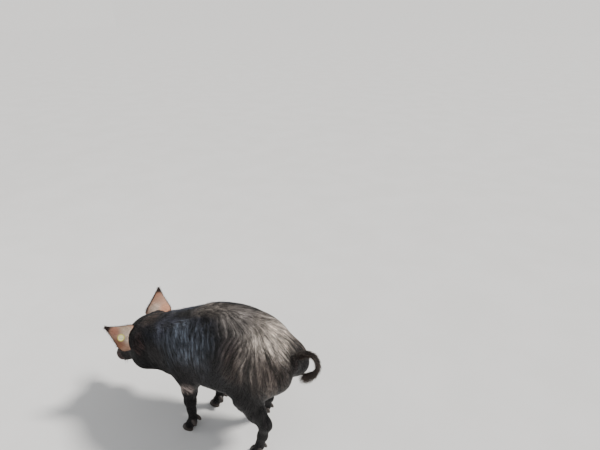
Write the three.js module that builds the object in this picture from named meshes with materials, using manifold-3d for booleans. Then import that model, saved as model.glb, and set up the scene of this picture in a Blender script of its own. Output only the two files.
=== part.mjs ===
// A young, plump, black farm pig standing with its head lowered, as a life-size still model.
// Millimetres, +Z up. The head points along -X, the pig's left side faces -Y, and its feet stand on z = 0.
// The flesh is one smooth field of lofts and limbs. It is parted into named solids by thin cuts.
import * as THREE from "three";
import { mergeVertices } from "three/addons/utils/BufferGeometryUtils.js";
import Module from "manifold-3d";

const wasm = await Module();
wasm.setup();

// ---------------------------------------------------------------- driving sizes

const GAP = 0.3; // air between two nodes that touch
const LEFT = -1; // the side that faces -Y
const RIGHT = 1;
const SIDES = { left: LEFT, right: RIGHT };

// Trunk sections along X: [x, height of the widest line, up to the back, down to the belly, half width]
const TRUNK = [
  [318, 402, 12, 28, 22],
  [302, 404, 33, 58, 52],
  [268, 406, 73, 98, 92],
  [200, 400, 128, 134, 133],
  [110, 388, 165, 152, 145],
  [20, 380, 170, 151, 147],
  [-60, 372, 156, 142, 140],
  [-130, 358, 128, 138, 124],
  [-190, 350, 108, 140, 104],
  [-240, 346, 86, 118, 82],
];
const TRUNK_SQUARENESS = 2.25; // 2 is an ellipse
const TRUNK_MIDDLE = 330; // a height inside the trunk all along the belly

// Neck sections from the shoulders to the skull: [distance, widest line, up, down, half width]
const NECK_START = [-60, 0, 366];
const NECK_PITCH = 5; // degrees below the level
const NECK = [
  [-20, 0, 60, 60, 60],
  [40, 0, 98, 108, 98],
  [100, -2, 104, 134, 108],
  [160, -6, 93, 150, 103],
  [215, -10, 89, 152, 96],
  [270, -12, 73, 128, 86],
];
const NECK_SQUARENESS = 2.1;
const NECK_FROM = 125; // where the neck parts from the torso, along the neck
const COLLAR = { pitch: 27, back: 22 }; // the plane behind the ears and jowls

// Head sections along the face, from the poll to the snout: [distance, widest line, up, down, half width]
const POLL = [-334, 0, 350]; // the point in the skull from which the face is measured
const HEAD_PITCH = 45; // degrees below the level
const HEAD = [
  [-40, -14, 34, 50, 50],
  [-12, -16, 68, 70, 74],
  [20, -18, 80, 82, 85],
  [56, -19, 79, 84, 86],
  [92, -19, 66, 76, 75],
  [124, -18, 51, 63, 59],
  [156, -17, 39, 52, 46],
  [188, -15, 31, 43, 38],
  [216, -12, 27, 34, 33],
  [244, -8, 25, 27, 30],
];
const HEAD_SQUARENESS = 2.2;
const JAW = [
  [30, -74, 34, 36, 50],
  [84, -70, 29, 31, 44],
  [136, -56, 21, 24, 32],
  [184, -44, 15, 17, 25],
  [226, -37, 11, 10, 20],
];
// The flat disc at the end of the snout: [along the face, half width, half height].
const DISC = [
  [233, 26, 23],
  [241, 33, 27.5],
  [247, 36, 30],
  [252, 36, 30],
  [255, 33.5, 28],
  [255.8, 29, 24],
];
const DISC_UP = -5;
const DISC_BEND = 0.9; // under 1 makes the disc squarer
const DISC_TAPER = 0.07; // how much wider it is below than above
const SNOUT_FROM = 168; // where the snout parts from the head, along the face
const NOSTRIL = { side: 13.5, up: -3, wide: 5.6, tall: 7.6 };
// Nostril sections: [along the face, share of the opening]
const NOSTRIL_ROWS = [
  [262, 1.12],
  [254.5, 1.06],
  [250, 0.9],
  [238, 0.5],
];
const MOUTH = { wide: 1.7, deep: 4.5, end: 0.4, across: 220 };
// The line of the mouth: [along the face, up from its axis]
const MOUTH_LINE = [
  [247, -44],
  [238, -37],
  [222, -35.5],
  [200, -39],
  [170, -47],
  [138, -56],
  [118, -57],
  [108, -53],
];

const LIP = { aside: 0.78, up: 5, radius: 6.5, smooth: 5 }; // the swell of the upper lip over the mouth

const EYE = { along: 94, side: 56.5, up: 14, radius: 11, lid: 2.8 };
const EYE_OUT = [0.34, 0.92, 0.2]; // the way the eye looks: along the face, to the side, up
const EYE_OPENING = { half: 10.4, tall: 6.4, point: 1.25 };
// Sections of the opening between the lids: [out from the eye's middle, share of the opening]
const LID_ROWS = [
  [5.5, 0.78],
  [11, 1],
  [15, 1.12],
  [40, 1.9],
];
// Each ear's own lie: its root, the way its tip points and the way its back faces.
const EAR_LIE = {
  left: {
    root: [-344, -78, 338],
    tip: [-0.8, -0.36, 0.42],
    back: [0.53, -0.59, 0.53],
    length: 131,
    sweep: 9,
  },
  right: {
    root: [-353, 65, 355],
    tip: [-0.46, 0.67, 0.58],
    back: [0.22, -0.5, 0.8],
    length: 142,
    sweep: 0,
  },
};
// Ear sections: [share of the length, half width, curl in degrees, thickness, how far it is hollow]
const EAR_ROWS = [
  [-0.12, 28, 80, 9, 0],
  [0, 34, 84, 9, 0],
  [0.1, 46, 76, 8.5, 0.2],
  [0.2, 54, 64, 7, 0.65],
  [0.31, 53, 54, 6, 1],
  [0.43, 43.5, 47, 5.2, 1],
  [0.56, 32.5, 42, 4.6, 1],
  [0.69, 22, 38, 4, 1],
  [0.81, 13.5, 36, 3.6, 1],
  [0.91, 7.2, 32, 3, 1],
  [1, 2.6, 26, 2.4, 1],
];
const EAR_DROOP = 16; // how far the tip hangs off the straight line
const EAR_SEAT_ROWS = 7; // the rows that reach into the head
const TAG = {
  radius: 14,
  thick: 2.4,
  at: 0.41, // share of the ear's length
  aside: -0.12, // share of its half width
  stem: 2.6,
  button: 6,
  sunk: 0.7,
  buttonFrom: 8.6,
  buttonTo: 6.6,
  point: [10, 1.2], // depth and radius of the pin's end
  bevel: [0.5, 0.8],
};
const STEP = 0.01; // the run of a spool's square shoulder
const FREE = { behind: 40, before: 12 }; // how far the tag's seat reaches past the ear

// Feet: where the middle of each pair of claws stands.
const FORE = { x: -98, y: 88 };
const HIND = { x: 200, y: 90 };
const LEGS = {
  foreleg_left: { side: LEFT, fore: true, shift: 0 },
  foreleg_right: { side: RIGHT, fore: true, shift: 27, y: 60 },
  hindleg_left: { side: LEFT, fore: false, shift: 0 },
  hindleg_right: { side: RIGHT, fore: false, shift: -68 },
};
const DIGIT_SPREAD = 13.4;
const TEATS = { first: -12, step: 34, pairs: 5, side: 29 };
// Teat sections: [radius, drop below the belly]
const TEAT_ROWS = [
  [5.4, -9],
  [4.2, 4],
  [2.4, 8.5],
];
// The hoof's upper edge: its height at its front, how far ahead of the foot's middle that is, and its fall.
const CORONET = { front: 27, ahead: 30, slope: 0.286 };
const CLAW = {
  half: 11.4,
  toe: 43,
  heel: 7,
  topFront: 28,
  topBack: 6,
  narrow: 0.3,
  turnIn: 1.5,
  bevel: 1,
};
// Dewclaw path: [behind the foot's middle, outward, height, radius]
const DEWCLAW = [
  [8, 9, 62, 6],
  [16, 12, 56, 7.8],
  [23, 14.5, 49, 7.4],
  [28.5, 16, 42.5, 4.6],
  [30, 16.5, 40, 1.8],
];
const DEWCLAW_FLAT = 0.8;
// The tail: an arch back from the rump, a hanging length that curls inward, and a narrow end.
const TAIL = [
  [303, 0, 424, 13.5],
  [318, 0, 440, 13],
  [336, 0, 455, 12],
  [356, 1, 465, 10.5],
  [376, 2, 465, 9],
  [390, 3, 453, 7.8],
  [396, 3, 435, 7],
  [397, 1, 417, 6.8],
  [391, -3, 402, 7.2],
  [381, -8, 392, 6.8],
  [371, -12, 386, 4.8],
  [362, -14, 382, 1.8],
];
const TAIL_SIDES = 12;
const TAIL_SEAT_ROWS = 4; // the rows that reach into the rump
const KNEE_Z = 142;
const STIFLE_Z = 222;

// The width over which each form melts into the ones before it.
const BLEND = {
  jaw: 16,
  cheek: 34,
  mound: 24,
  brow: 16,
  orbit: 9,
  lip: 7,
  neck: 50,
  ham: 28,
  shoulder: 40,
  head: 46,
  leg: 30,
  digit: 9,
  hock: 18,
};

// Convex regions of the side view, [x, z] corners, that part the legs from the trunk, outside INNER.
const FORELEG_REGION = [
  [-152, -30],
  [0, -30],
  [-28, 236],
  [-148, 250],
];
const THIGH_REGION = [
  [70, -30],
  [360, -30],
  [360, 400],
  [238, 424],
  [112, 330],
  [88, 262],
];
const INNER = { fore: 32, hind: 34 };
const REGION_OUT = 240; // past the widest line of the body

// The boxes that hold each part of the flesh, and the size of the grid it is meshed on.
const TORSO_BOX = [
  [-270, -190, 150],
  [370, 190, 580],
];
const NECK_BOX = [
  [-430, -160, 120],
  [-140, 160, 540],
];
const HEAD_BOX = [
  [-650, -170, 80],
  [-190, 170, 520],
];
const SNOUT_BOX = [
  [-640, -120, 90],
  [-370, 120, 320],
];
const LEG_BOX = { ahead: 130, behind: 236, aside: 190, foreTop: 300, hindTop: 480, lap: 30, lowerLap: 20 };
const CELL = {
  torso: 27.5,
  neck: 20,
  head: 13.6,
  mouth: 13,
  snout: 8.6,
  foreUpper: 16,
  foreLower: 11.5,
  hindUpper: 20.5,
  hindLower: 13.6,
};

const COLOUR = {
  black: 0x1d1b1c,
  skin: 0x3a2c2a,
  eye: 0x1a0f0a,
  ear: 0x5a3b35,
  tag: 0xd9b52a,
  horn: 0x2b2422,
};
const ROUGHNESS = { coat: 0.8, snout: 0.6, eye: 0.12, tag: 0.45, horn: 0.5 };

// ---------------------------------------------------------------- small maths

const clamp = (v, low, high) => Math.min(high, Math.max(low, v));
const bent = (v, power) => Math.sign(v) * Math.pow(Math.abs(v), power);
const radians = (degrees) => (degrees * Math.PI) / 180;
const mix = (a, b, t) => a + (b - a) * t;
const add = (a, b) => [a[0] + b[0], a[1] + b[1], a[2] + b[2]];

// As many points around a circle as given, each made from its cosine and sine.
function circle(count, make) {
  return Array.from({ length: count }, (_, n) => {
    const t = (2 * Math.PI * n) / count;
    return make(Math.cos(t), Math.sin(t));
  });
}

// The smooth union of two distances, rounded over a width k.
function smoothUnion(a, b, k) {
  const h = clamp(0.5 + (0.5 * (b - a)) / k, 0, 1);
  return mix(b, a, h) - k * h * (1 - h);
}

// The values of a row of sections at the distance s, by a cubic through them.
function sectionAt(rows, s) {
  const rising = rows[rows.length - 1][0] > rows[0][0];
  const list = rising ? rows : [...rows].reverse();
  let i = 0;
  while (i < list.length - 2 && s > list[i + 1][0]) i++;
  const [p0, p1] = [list[i], list[i + 1]];
  const before = list[Math.max(0, i - 1)];
  const after = list[Math.min(list.length - 1, i + 2)];
  const span = p1[0] - p0[0];
  const t = clamp((s - p0[0]) / span, 0, 1);
  const value = (k) => {
    const m0 = ((p1[k] - before[k]) / (p1[0] - before[0])) * span;
    const m1 = ((after[k] - p0[k]) / (after[0] - p0[0])) * span;
    const t2 = t * t;
    const t3 = t2 * t;
    const ends = (2 * t3 - 3 * t2 + 1) * p0[k] + (3 * t2 - 2 * t3) * p1[k];
    return ends + (t3 - 2 * t2 + t) * m0 + (t3 - t2) * m1;
  };
  return [value(1), value(2), value(3), value(4)];
}

// A frame with its own axes: along, side and up, which turns points into its own coordinates and back.
class Frame {
  constructor(origin, along, up) {
    this.origin = new THREE.Vector3(...origin);
    this.along = new THREE.Vector3(...along).normalize();
    this.side = this.along.clone().cross(new THREE.Vector3(...up)).normalize();
    this.up = this.side.clone().cross(this.along);
  }
  local(x, y, z) {
    const dx = x - this.origin.x;
    const dy = y - this.origin.y;
    const dz = z - this.origin.z;
    const dot = (v) => dx * v.x + dy * v.y + dz * v.z;
    return [dot(this.along), dot(this.side), dot(this.up)];
  }
  world(s, w, v) {
    const p = this.origin.clone();
    p.addScaledVector(this.along, s).addScaledVector(this.side, w).addScaledVector(this.up, v);
    return [p.x, p.y, p.z];
  }
  turn(s, w, v) {
    const o = this.origin;
    const p = this.world(s, w, v);
    return [p[0] - o.x, p[1] - o.y, p[2] - o.z];
  }
}

// A frame that points forward and down by a pitch.
function pitchedFrame(origin, pitch) {
  const c = Math.cos(radians(pitch));
  const s = Math.sin(radians(pitch));
  return new Frame(origin, [-c, 0, -s], [-s, 0, c]);
}

// ---------------------------------------------------------------- fields of flesh

// A loft: egg-shaped sections along a frame's first axis, square-ish by an exponent.
function loft(frame, rows, exponent = 2) {
  const low = Math.min(rows[0][0], rows[rows.length - 1][0]);
  const high = Math.max(rows[0][0], rows[rows.length - 1][0]);
  return (x, y, z) => {
    const [s, w, v] = frame.local(x, y, z);
    const at = clamp(s, low, high);
    const [centre, up, down, half] = sectionAt(rows, at);
    const tall = v > centre ? up : down;
    const a = Math.abs(w) / half;
    const b = Math.abs(v - centre) / tall;
    const k = Math.pow(Math.pow(a, exponent) + Math.pow(b, exponent), 1 / exponent);
    if (k < 1e-3) return -Math.min(half, tall);
    const slope = Math.hypot(
      Math.pow(a / k, exponent - 1) / half,
      Math.pow(b / k, exponent - 1) / tall,
    );
    const d = (k - 1) / slope;
    const over = Math.abs(s - at);
    if (over === 0) return d;
    return d > 0 ? Math.hypot(d, over) : Math.max(d, over);
  };
}

function ellipsoid(centre, radii, frame = null) {
  return (x, y, z) => {
    const p = frame ? frame.local(x, y, z) : [x, y, z];
    const q = p.map((c, i) => (c - centre[i]) / radii[i]);
    const k0 = Math.hypot(...q);
    if (k0 < 1e-3) return -Math.min(...radii);
    const k1 = Math.hypot(...q.map((c, i) => c / radii[i]));
    return (k0 * (k0 - 1)) / k1;
  };
}

// A tapered limb through joints [x, y, z, radius], narrower sideways by the share given.
function limb(joints, sideways = 0.86, k = 14) {
  return (x, y, z) => {
    let d = Infinity;
    for (let i = 0; i + 1 < joints.length; i++) {
      const [a, b] = [joints[i], joints[i + 1]];
      const ab = [b[0] - a[0], b[1] - a[1], b[2] - a[2]];
      const ap = [x - a[0], y - a[1], z - a[2]];
      const length2 = ab[0] ** 2 + ab[1] ** 2 + ab[2] ** 2;
      const t = clamp((ap[0] * ab[0] + ap[1] * ab[1] + ap[2] * ab[2]) / length2, 0, 1);
      const off = Math.hypot(ap[0] - t * ab[0], (ap[1] - t * ab[1]) / sideways, ap[2] - t * ab[2]);
      const one = off - mix(a[3], b[3], t);
      d = i ? smoothUnion(d, one, k) : one;
    }
    return d;
  };
}

// ---------------------------------------------------------------- the body

const trunkFrame = new Frame([0, 0, 0], [1, 0, 0], [0, 0, 1]);
const neckFrame = pitchedFrame(NECK_START, NECK_PITCH);
const headFrame = pitchedFrame(POLL, HEAD_PITCH);

const trunk = loft(trunkFrame, TRUNK, TRUNK_SQUARENESS);
const neck = loft(neckFrame, NECK, NECK_SQUARENESS);
const skull = loft(headFrame, HEAD, HEAD_SQUARENESS);
const jaw = loft(headFrame, JAW, 2);

// Pairs of soft forms on the head: cheek, brow over the eye, and the mound that the ear grows from.
const both = (make) => [LEFT, RIGHT].map(make);
const cheeks = both((side) => ellipsoid([68, side * 48, -72], [66, 44, 54], headFrame));
const brows = both((side) => ellipsoid([82, side * 45, 30], [30, 17, 14], headFrame));
const orbits = both((side) =>
  ellipsoid([EYE.along, side * (EYE.side - 2), EYE.up], [19, 14, 14], headFrame),
);
const mounds = [
  ellipsoid([-350, -66, 338], [38, 34, 36]),
  ellipsoid([-350, 64, 344], [38, 34, 36]),
];
const lips = both((side) => {
  const path = MOUTH_LINE.slice(1, 6).map(([s, v]) => {
    const aside = sectionAt(HEAD, s)[3] * LIP.aside;
    return [...headFrame.world(s, side * aside, v + LIP.up), LIP.radius];
  });
  return limb(path, 1, LIP.smooth);
});

function headField(x, y, z) {
  let d = smoothUnion(skull(x, y, z), jaw(x, y, z), BLEND.jaw);
  for (const cheek of cheeks) d = smoothUnion(d, cheek(x, y, z), BLEND.cheek);
  for (const mound of mounds) d = smoothUnion(d, mound(x, y, z), BLEND.mound);
  for (const brow of brows) d = smoothUnion(d, brow(x, y, z), BLEND.brow);
  for (const orbit of orbits) d = smoothUnion(d, orbit(x, y, z), BLEND.orbit);
  for (const lip of lips) d = smoothUnion(d, lip(x, y, z), BLEND.lip);
  return d;
}

function legJoints(leg) {
  const s = leg.side;
  if (leg.fore) {
    const fx = FORE.x + leg.shift;
    const fy = leg.y ?? FORE.y;
    return {
      foot: [fx, s * fy, 0],
      column: [
        [-112, s * 70, 325, 58],
        [-88, s * 84, 258, 44],
        [mix(-84, fx, 0.6), s * mix(87, fy, 0.4), 196, 30],
        [fx + 2, s * mix(86, fy, 0.7), KNEE_Z, 23.5],
        [fx + 4, s * mix(86, fy, 0.9), 98, 17.5],
        [fx + 6, s * fy, 58, 19],
      ],
    };
  }
  const fx = HIND.x + leg.shift;
  const hip = leg.shift * 0.4;
  return {
    foot: [fx, s * HIND.y, 0],
    column: [
      [254, s * 54, 388, 64],
      [200 + hip * 0.5, s * 78, 328, 55],
      [168 + hip, s * 88, 282, 60],
      [mix(190, fx + 10, 0.5), s * 91, 222, 39],
      [fx + 34, s * 88, 168, 23],
      [fx + 22, s * 87, 108, 18],
      [fx + 10, s * HIND.y, 58, 19],
    ],
  };
}

function legField(leg) {
  const { foot, column } = legJoints(leg);
  const shaft = limb(column, 0.84, 16);
  const last = column[column.length - 1];
  const digits = [-1, 1].map((k) =>
    limb(
      [
        [last[0], last[1] + k * 6, last[2] - 4, 15],
        [foot[0] - 6, foot[1] + k * DIGIT_SPREAD, 28, 14],
        [foot[0] - 12, foot[1] + k * DIGIT_SPREAD, 8, 15],
      ],
      0.82,
      8,
    ),
  );
  const heel = leg.fore ? null : ellipsoid([foot[0] + 46, foot[1] - leg.side * 2, 186], [15, 11, 26]);
  return (x, y, z) => {
    let d = shaft(x, y, z);
    d = smoothUnion(d, Math.min(digits[0](x, y, z), digits[1](x, y, z)), BLEND.digit);
    if (heel) d = smoothUnion(d, heel(x, y, z), BLEND.hock);
    return d;
  };
}
const legFields = Object.values(LEGS).map(legField);

const hams = [
  ellipsoid([232, -60, 386], [88, 60, 74]),
  ellipsoid([240, 62, 364], [99, 58, 76]),
];
const shoulders = both((side) => ellipsoid([-100, side * 68, 358], [78, 62, 112]));

function bodyField(x, y, z) {
  let d = trunk(x, y, z);
  d = smoothUnion(d, neck(x, y, z), BLEND.neck);
  for (const ham of hams) d = smoothUnion(d, ham(x, y, z), BLEND.ham);
  for (const shoulder of shoulders) d = smoothUnion(d, shoulder(x, y, z), BLEND.shoulder);
  d = smoothUnion(d, headField(x, y, z), BLEND.head);
  for (const leg of legFields) d = smoothUnion(d, leg(x, y, z), BLEND.leg);
  return d;
}

// ---------------------------------------------------------------- surfaces

// A grid cell's corners, its twelve edges as pairs of corners, and its six faces as rings of corners.
const CORNERS = [0, 1, 2, 3, 4, 5, 6, 7].map((n) => [n & 1, (n >> 1) & 1, (n >> 2) & 1]);
const EDGES = [];
for (let a = 0; a < 8; a++)
  for (let axis = 0; axis < 3; axis++) if (!CORNERS[a][axis]) EDGES.push([a, a | (1 << axis)]);
const FACES = [];
for (let axis = 0; axis < 3; axis++)
  for (const level of [0, 1]) {
    const [u, v] = [1 << (axis + 1) % 3, 1 << (axis + 2) % 3];
    const base = level << axis;
    FACES.push([base, base | u, base | u | v, base | v]);
  }
const edgeOf = (a, b) => EDGES.findIndex((e) => e[0] === Math.min(a, b) && e[1] === Math.max(a, b));

// The crossed edges of a cell, in one list for each separate sheet of surface that passes through it.
const sheetCache = new Map();
function sheetsOf(inside) {
  const key = inside.reduce((sum, v, n) => sum + (v ? 1 << n : 0), 0);
  if (sheetCache.has(key)) return sheetCache.get(key);
  const parent = EDGES.map((_, n) => n);
  const find = (n) => (parent[n] === n ? n : find(parent[n]));
  const join = (a, b) => (parent[find(a)] = find(b));
  for (const face of FACES) {
    const around = face.map((c, n) => edgeOf(c, face[(n + 1) % 4]));
    const crossed = around.filter((e) => inside[EDGES[e][0]] !== inside[EDGES[e][1]]);
    if (crossed.length === 2) join(crossed[0], crossed[1]);
    if (crossed.length === 4)
      face.forEach((c, n) => inside[c] && join(around[n], around[(n + 3) % 4]));
  }
  const sheets = new Map();
  EDGES.forEach(([a, b], e) => {
    if (inside[a] === inside[b]) return;
    const root = find(e);
    sheets.set(root, [...(sheets.get(root) ?? []), e]);
  });
  sheetCache.set(key, [...sheets.values()]);
  return sheetCache.get(key);
}

// The surface where a field is nought inside a box, as one mesh of near-square faces.
function surface(field, low, high, cell) {
  const count = low.map((v, i) => Math.ceil((high[i] - v) / cell) + 1);
  const [nx, ny, nz] = count;
  const values = new Float64Array(nx * ny * nz);
  const index = (i, j, k) => (k * ny + j) * nx + i;
  const at = (i, j, k) => [low[0] + i * cell, low[1] + j * cell, low[2] + k * cell];
  for (let k = 0; k < nz; k++)
    for (let j = 0; j < ny; j++)
      for (let i = 0; i < nx; i++) {
        const rim = i === 0 || j === 0 || k === 0 || i === nx - 1 || j === ny - 1 || k === nz - 1;
        const d = field(...at(i, j, k));
        values[index(i, j, k)] = rim ? Math.max(d, cell * 0.2) : d;
      }

  const vertexOf = new Map(); // from a cell and one of its crossed edges to the sheet's vertex
  const positions = [];
  for (let k = 0; k + 1 < nz; k++)
    for (let j = 0; j + 1 < ny; j++)
      for (let i = 0; i + 1 < nx; i++) {
        const d = CORNERS.map(([a, b, c]) => values[index(i + a, j + b, k + c)]);
        const inside = d.map((v) => v < 0);
        if (inside.every((v) => v === inside[0])) continue;
        for (const sheet of sheetsOf(inside)) {
          const sum = [0, 0, 0];
          for (const e of sheet) {
            const [a, b] = EDGES[e];
            const t = d[a] / (d[a] - d[b]);
            for (let n = 0; n < 3; n++) sum[n] += mix(CORNERS[a][n], CORNERS[b][n], t);
            vertexOf.set(index(i, j, k) * 12 + e, positions.length);
          }
          positions.push(sum.map((v, n) => low[n] + ([i, j, k][n] + v / sheet.length) * cell));
        }
      }

  const triangles = [];
  const steps = [1, nx, nx * ny];
  for (let k = 0; k + 1 < nz; k++)
    for (let j = 0; j + 1 < ny; j++)
      for (let i = 0; i + 1 < nx; i++)
        for (let axis = 0; axis < 3; axis++) {
          const here = index(i, j, k);
          if (![i, j, k][(axis + 1) % 3] || ![i, j, k][(axis + 2) % 3]) continue;
          const inside = values[here] < 0;
          if (inside === values[here + steps[axis]] < 0) continue;
          const [u, v] = [(axis + 1) % 3, (axis + 2) % 3];
          const ring = [
            [1, 1],
            [0, 1],
            [0, 0],
            [1, 0],
          ].map(([du, dv]) => {
            const corner = (du << u) | (dv << v);
            const edge = EDGES.findIndex(([a, b]) => a === corner && b === (corner | (1 << axis)));
            return vertexOf.get((here - du * steps[u] - dv * steps[v]) * 12 + edge);
          });
          if (!inside) ring.reverse();
          const gap = (a, b) => Math.hypot(...positions[a].map((c, n) => c - positions[b][n]));
          if (gap(ring[0], ring[2]) > gap(ring[1], ring[3])) ring.push(ring.shift());
          triangles.push([ring[0], ring[1], ring[2]], [ring[0], ring[2], ring[3]]);
        }

  const snapped = positions.map((p) => settle(field, p, cell));
  return solid(snapped, triangles);
}

// Moves a point onto the surface of a field by a few short steps along its slope.
function settle(field, start, cell) {
  const h = 0.25;
  let p = start;
  for (let n = 0; n < 3; n++) {
    const d = field(...p);
    const slope = [0, 1, 2].map((axis) => {
      const [a, b] = [[...p], [...p]];
      a[axis] += h;
      b[axis] -= h;
      return (field(...a) - field(...b)) / (2 * h);
    });
    const size2 = slope[0] ** 2 + slope[1] ** 2 + slope[2] ** 2;
    if (size2 < 1e-6) break;
    const step = clamp(d, -cell * 0.3, cell * 0.3) / size2;
    p = p.map((c, axis) => c - slope[axis] * step);
  }
  return p;
}

// Points and triangles as a closed solid.
function solid(points, triangles) {
  return new wasm.Manifold(
    new wasm.Mesh({
      numProp: 3,
      vertProperties: new Float32Array(points.flat()),
      triVerts: new Uint32Array(triangles.flat()),
    }),
  );
}

// A solid through rings of as many points each, closed at both ends by a fan.
function stack(rings) {
  const count = rings[0].length;
  const points = rings.flat();
  const triangles = [];
  for (let r = 0; r + 1 < rings.length; r++)
    for (let n = 0; n < count; n++) {
      const [a, b] = [r * count + n, r * count + ((n + 1) % count)];
      triangles.push([a, b, b + count], [a, b + count, a + count]);
    }
  for (const [ring, flip] of [[0, true], [rings.length - 1, false]]) {
    const middle = points.length;
    points.push([0, 1, 2].map((k) => rings[ring].reduce((sum, p) => sum + p[k], 0) / count));
    for (let n = 0; n < count; n++) {
      const [a, b] = [ring * count + n, ring * count + ((n + 1) % count)];
      triangles.push(flip ? [b, a, middle] : [a, b, middle]);
    }
  }
  const made = solid(points, triangles);
  return made.volume() > 0 ? made : solid(points, triangles.map(([a, b, c]) => [a, c, b]));
}

function ball(centre, radius, detail = 2) {
  const round = new THREE.IcosahedronGeometry(radius, detail);
  round.deleteAttribute("normal");
  round.deleteAttribute("uv");
  const joined = mergeVertices(round, 1e-3);
  const flat = Array.from(joined.attributes.position.array);
  const points = [];
  for (let n = 0; n < flat.length; n += 3) points.push(add(flat.slice(n, n + 3), centre));
  const index = Array.from(joined.index.array);
  const triangles = [];
  for (let n = 0; n < index.length; n += 3) triangles.push(index.slice(n, n + 3));
  return solid(points, triangles);
}

// A round tube along a path of [x, y, z, radius].
function tube(path, sides, flat = 1) {
  const along = path.map((p, n) => {
    const [a, b] = [path[Math.max(0, n - 1)], path[Math.min(path.length - 1, n + 1)]];
    return new THREE.Vector3(b[0] - a[0], b[1] - a[1], b[2] - a[2]).normalize();
  });
  let across = new THREE.Vector3(0, 1, 0);
  const rings = path.map((p, n) => {
    const u = across.clone().addScaledVector(along[n], -across.dot(along[n])).normalize();
    across = u;
    const v = along[n].clone().cross(u);
    return circle(sides, (cosine, sine) => {
      const [c, q] = [cosine * p[3], sine * p[3] * flat];
      return [p[0] + u.x * c + v.x * q, p[1] + u.y * c + v.y * q, p[2] + u.z * c + v.z * q];
    });
  });
  return stack(rings);
}

// A convex region of the side view, [x, z] corners, from one y to another, grown by an offset.
function region(corners, y0, y1, grow) {
  const count = corners.length;
  const middle = [0, 1].map((k) => corners.reduce((sum, p) => sum + p[k], 0) / count);
  const lines = corners.map((a, n) => {
    const b = corners[(n + 1) % count];
    const normal = new THREE.Vector2(b[1] - a[1], a[0] - b[0]).normalize();
    if (normal.x * (a[0] - middle[0]) + normal.y * (a[1] - middle[1]) < 0) normal.negate();
    return [normal.x, normal.y, normal.x * a[0] + normal.y * a[1] + grow];
  });
  const moved = corners.map((_, n) => {
    const [p, q] = [lines[(n + count - 1) % count], lines[n]];
    const det = p[0] * q[1] - p[1] * q[0];
    return [(p[2] * q[1] - p[1] * q[2]) / det, (p[0] * q[2] - p[2] * q[0]) / det];
  });
  const [low, high] = [Math.min(y0, y1) - grow, Math.max(y0, y1) + grow];
  return stack([low, high].map((y) => moved.map(([x, z]) => [x, y, z])));
}

// Keeps what lies ahead of a plane square to a frame's first axis, or behind it.
function ahead(made, frame, distance) {
  const n = frame.along;
  return made.trimByPlane([n.x, n.y, n.z], n.dot(frame.origin) + distance + GAP / 2);
}
function behind(made, frame, distance) {
  const n = frame.along;
  return made.trimByPlane([-n.x, -n.y, -n.z], -(n.dot(frame.origin) + distance) + GAP / 2);
}
const above = (made, z) => made.trimByPlane([0, 0, 1], z + GAP / 2);
const below = (made, z) => made.trimByPlane([0, 0, -1], -z + GAP / 2);

// ---------------------------------------------------------------- the head's features

const collarFrame = pitchedFrame(POLL, COLLAR.pitch);

// The eye's middle, and its axes out, across and up.
function eyeCentre(side) {
  return headFrame.world(EYE.along, side * EYE.side, EYE.up);
}
function eyeFrame(side) {
  const [along, aside, up] = EYE_OUT;
  return new Frame(eyeCentre(side), headFrame.turn(along, side * aside, up), headFrame.turn(0.1, 0, 1));
}
// The opening between the lids, as a cone of lens-shaped sections out from the eye.
function eyeOpening(side) {
  const frame = eyeFrame(side);
  const { half, tall, point } = EYE_OPENING;
  return stack(
    LID_ROWS.map(([out, size]) =>
      circle(16, (c, q) => frame.world(out, c * half * size, bent(q, point) * tall * size)),
    ),
  );
}

// The disc of the snout, egg-shaped, a little wider below the nostrils than above.
function noseDisc() {
  return stack(
    DISC.map(([s, half, tall]) =>
      circle(26, (c, q) => {
        const w = bent(c, DISC_BEND) * half * (1 - DISC_TAPER * q);
        return headFrame.world(s, w, DISC_UP + bent(q, DISC_BEND) * tall);
      }),
    ),
  );
}
function nostril(side) {
  return stack(
    NOSTRIL_ROWS.map(([s, size]) =>
      circle(14, (c, q) => {
        const w = side * NOSTRIL.side + c * NOSTRIL.wide * size;
        return headFrame.world(s, w, NOSTRIL.up + q * NOSTRIL.tall * size);
      }),
    ),
  );
}

// The line of the mouth: a thin curved sheet across the head, less the core that stays whole.
function mouthCut() {
  const half = MOUTH.wide / 2;
  const path = MOUTH_LINE;
  const edge = (k) =>
    path.map(([s, v], n) => {
      const [a, b] = [path[Math.max(0, n - 1)], path[Math.min(path.length - 1, n + 1)]];
      const normal = new THREE.Vector2(b[1] - a[1], a[0] - b[0]).normalize();
      const width = n === path.length - 1 ? half * MOUTH.end : half;
      return [s + normal.x * width * k, v + normal.y * width * k];
    });
  const outline = [...edge(1), ...edge(-1).reverse()];
  const shape = new THREE.Shape(outline.map(([s, v]) => new THREE.Vector2(s, v)));
  const sheet = new THREE.ExtrudeGeometry(shape, { depth: MOUTH.across, bevelEnabled: false });
  sheet.deleteAttribute("normal");
  sheet.deleteAttribute("uv");
  const joined = mergeVertices(sheet, 1e-3);
  const at = joined.attributes.position;
  const points = Array.from({ length: at.count }, (_, n) =>
    headFrame.world(at.getX(n), at.getZ(n) - MOUTH.across / 2, at.getY(n)),
  );
  const index = Array.from(joined.index.array);
  const triangles = [];
  for (let n = 0; n < index.length; n += 3) triangles.push(index.slice(n, n + 3));
  const made = solid(points, triangles);
  const band = made.volume() > 0 ? made : solid(points, triangles.map(([a, b, c]) => [a, c, b]));
  const core = surface((x, y, z) => headField(x, y, z) + MOUTH.deep, ...HEAD_BOX, CELL.mouth);
  return band.subtract(core);
}

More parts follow.
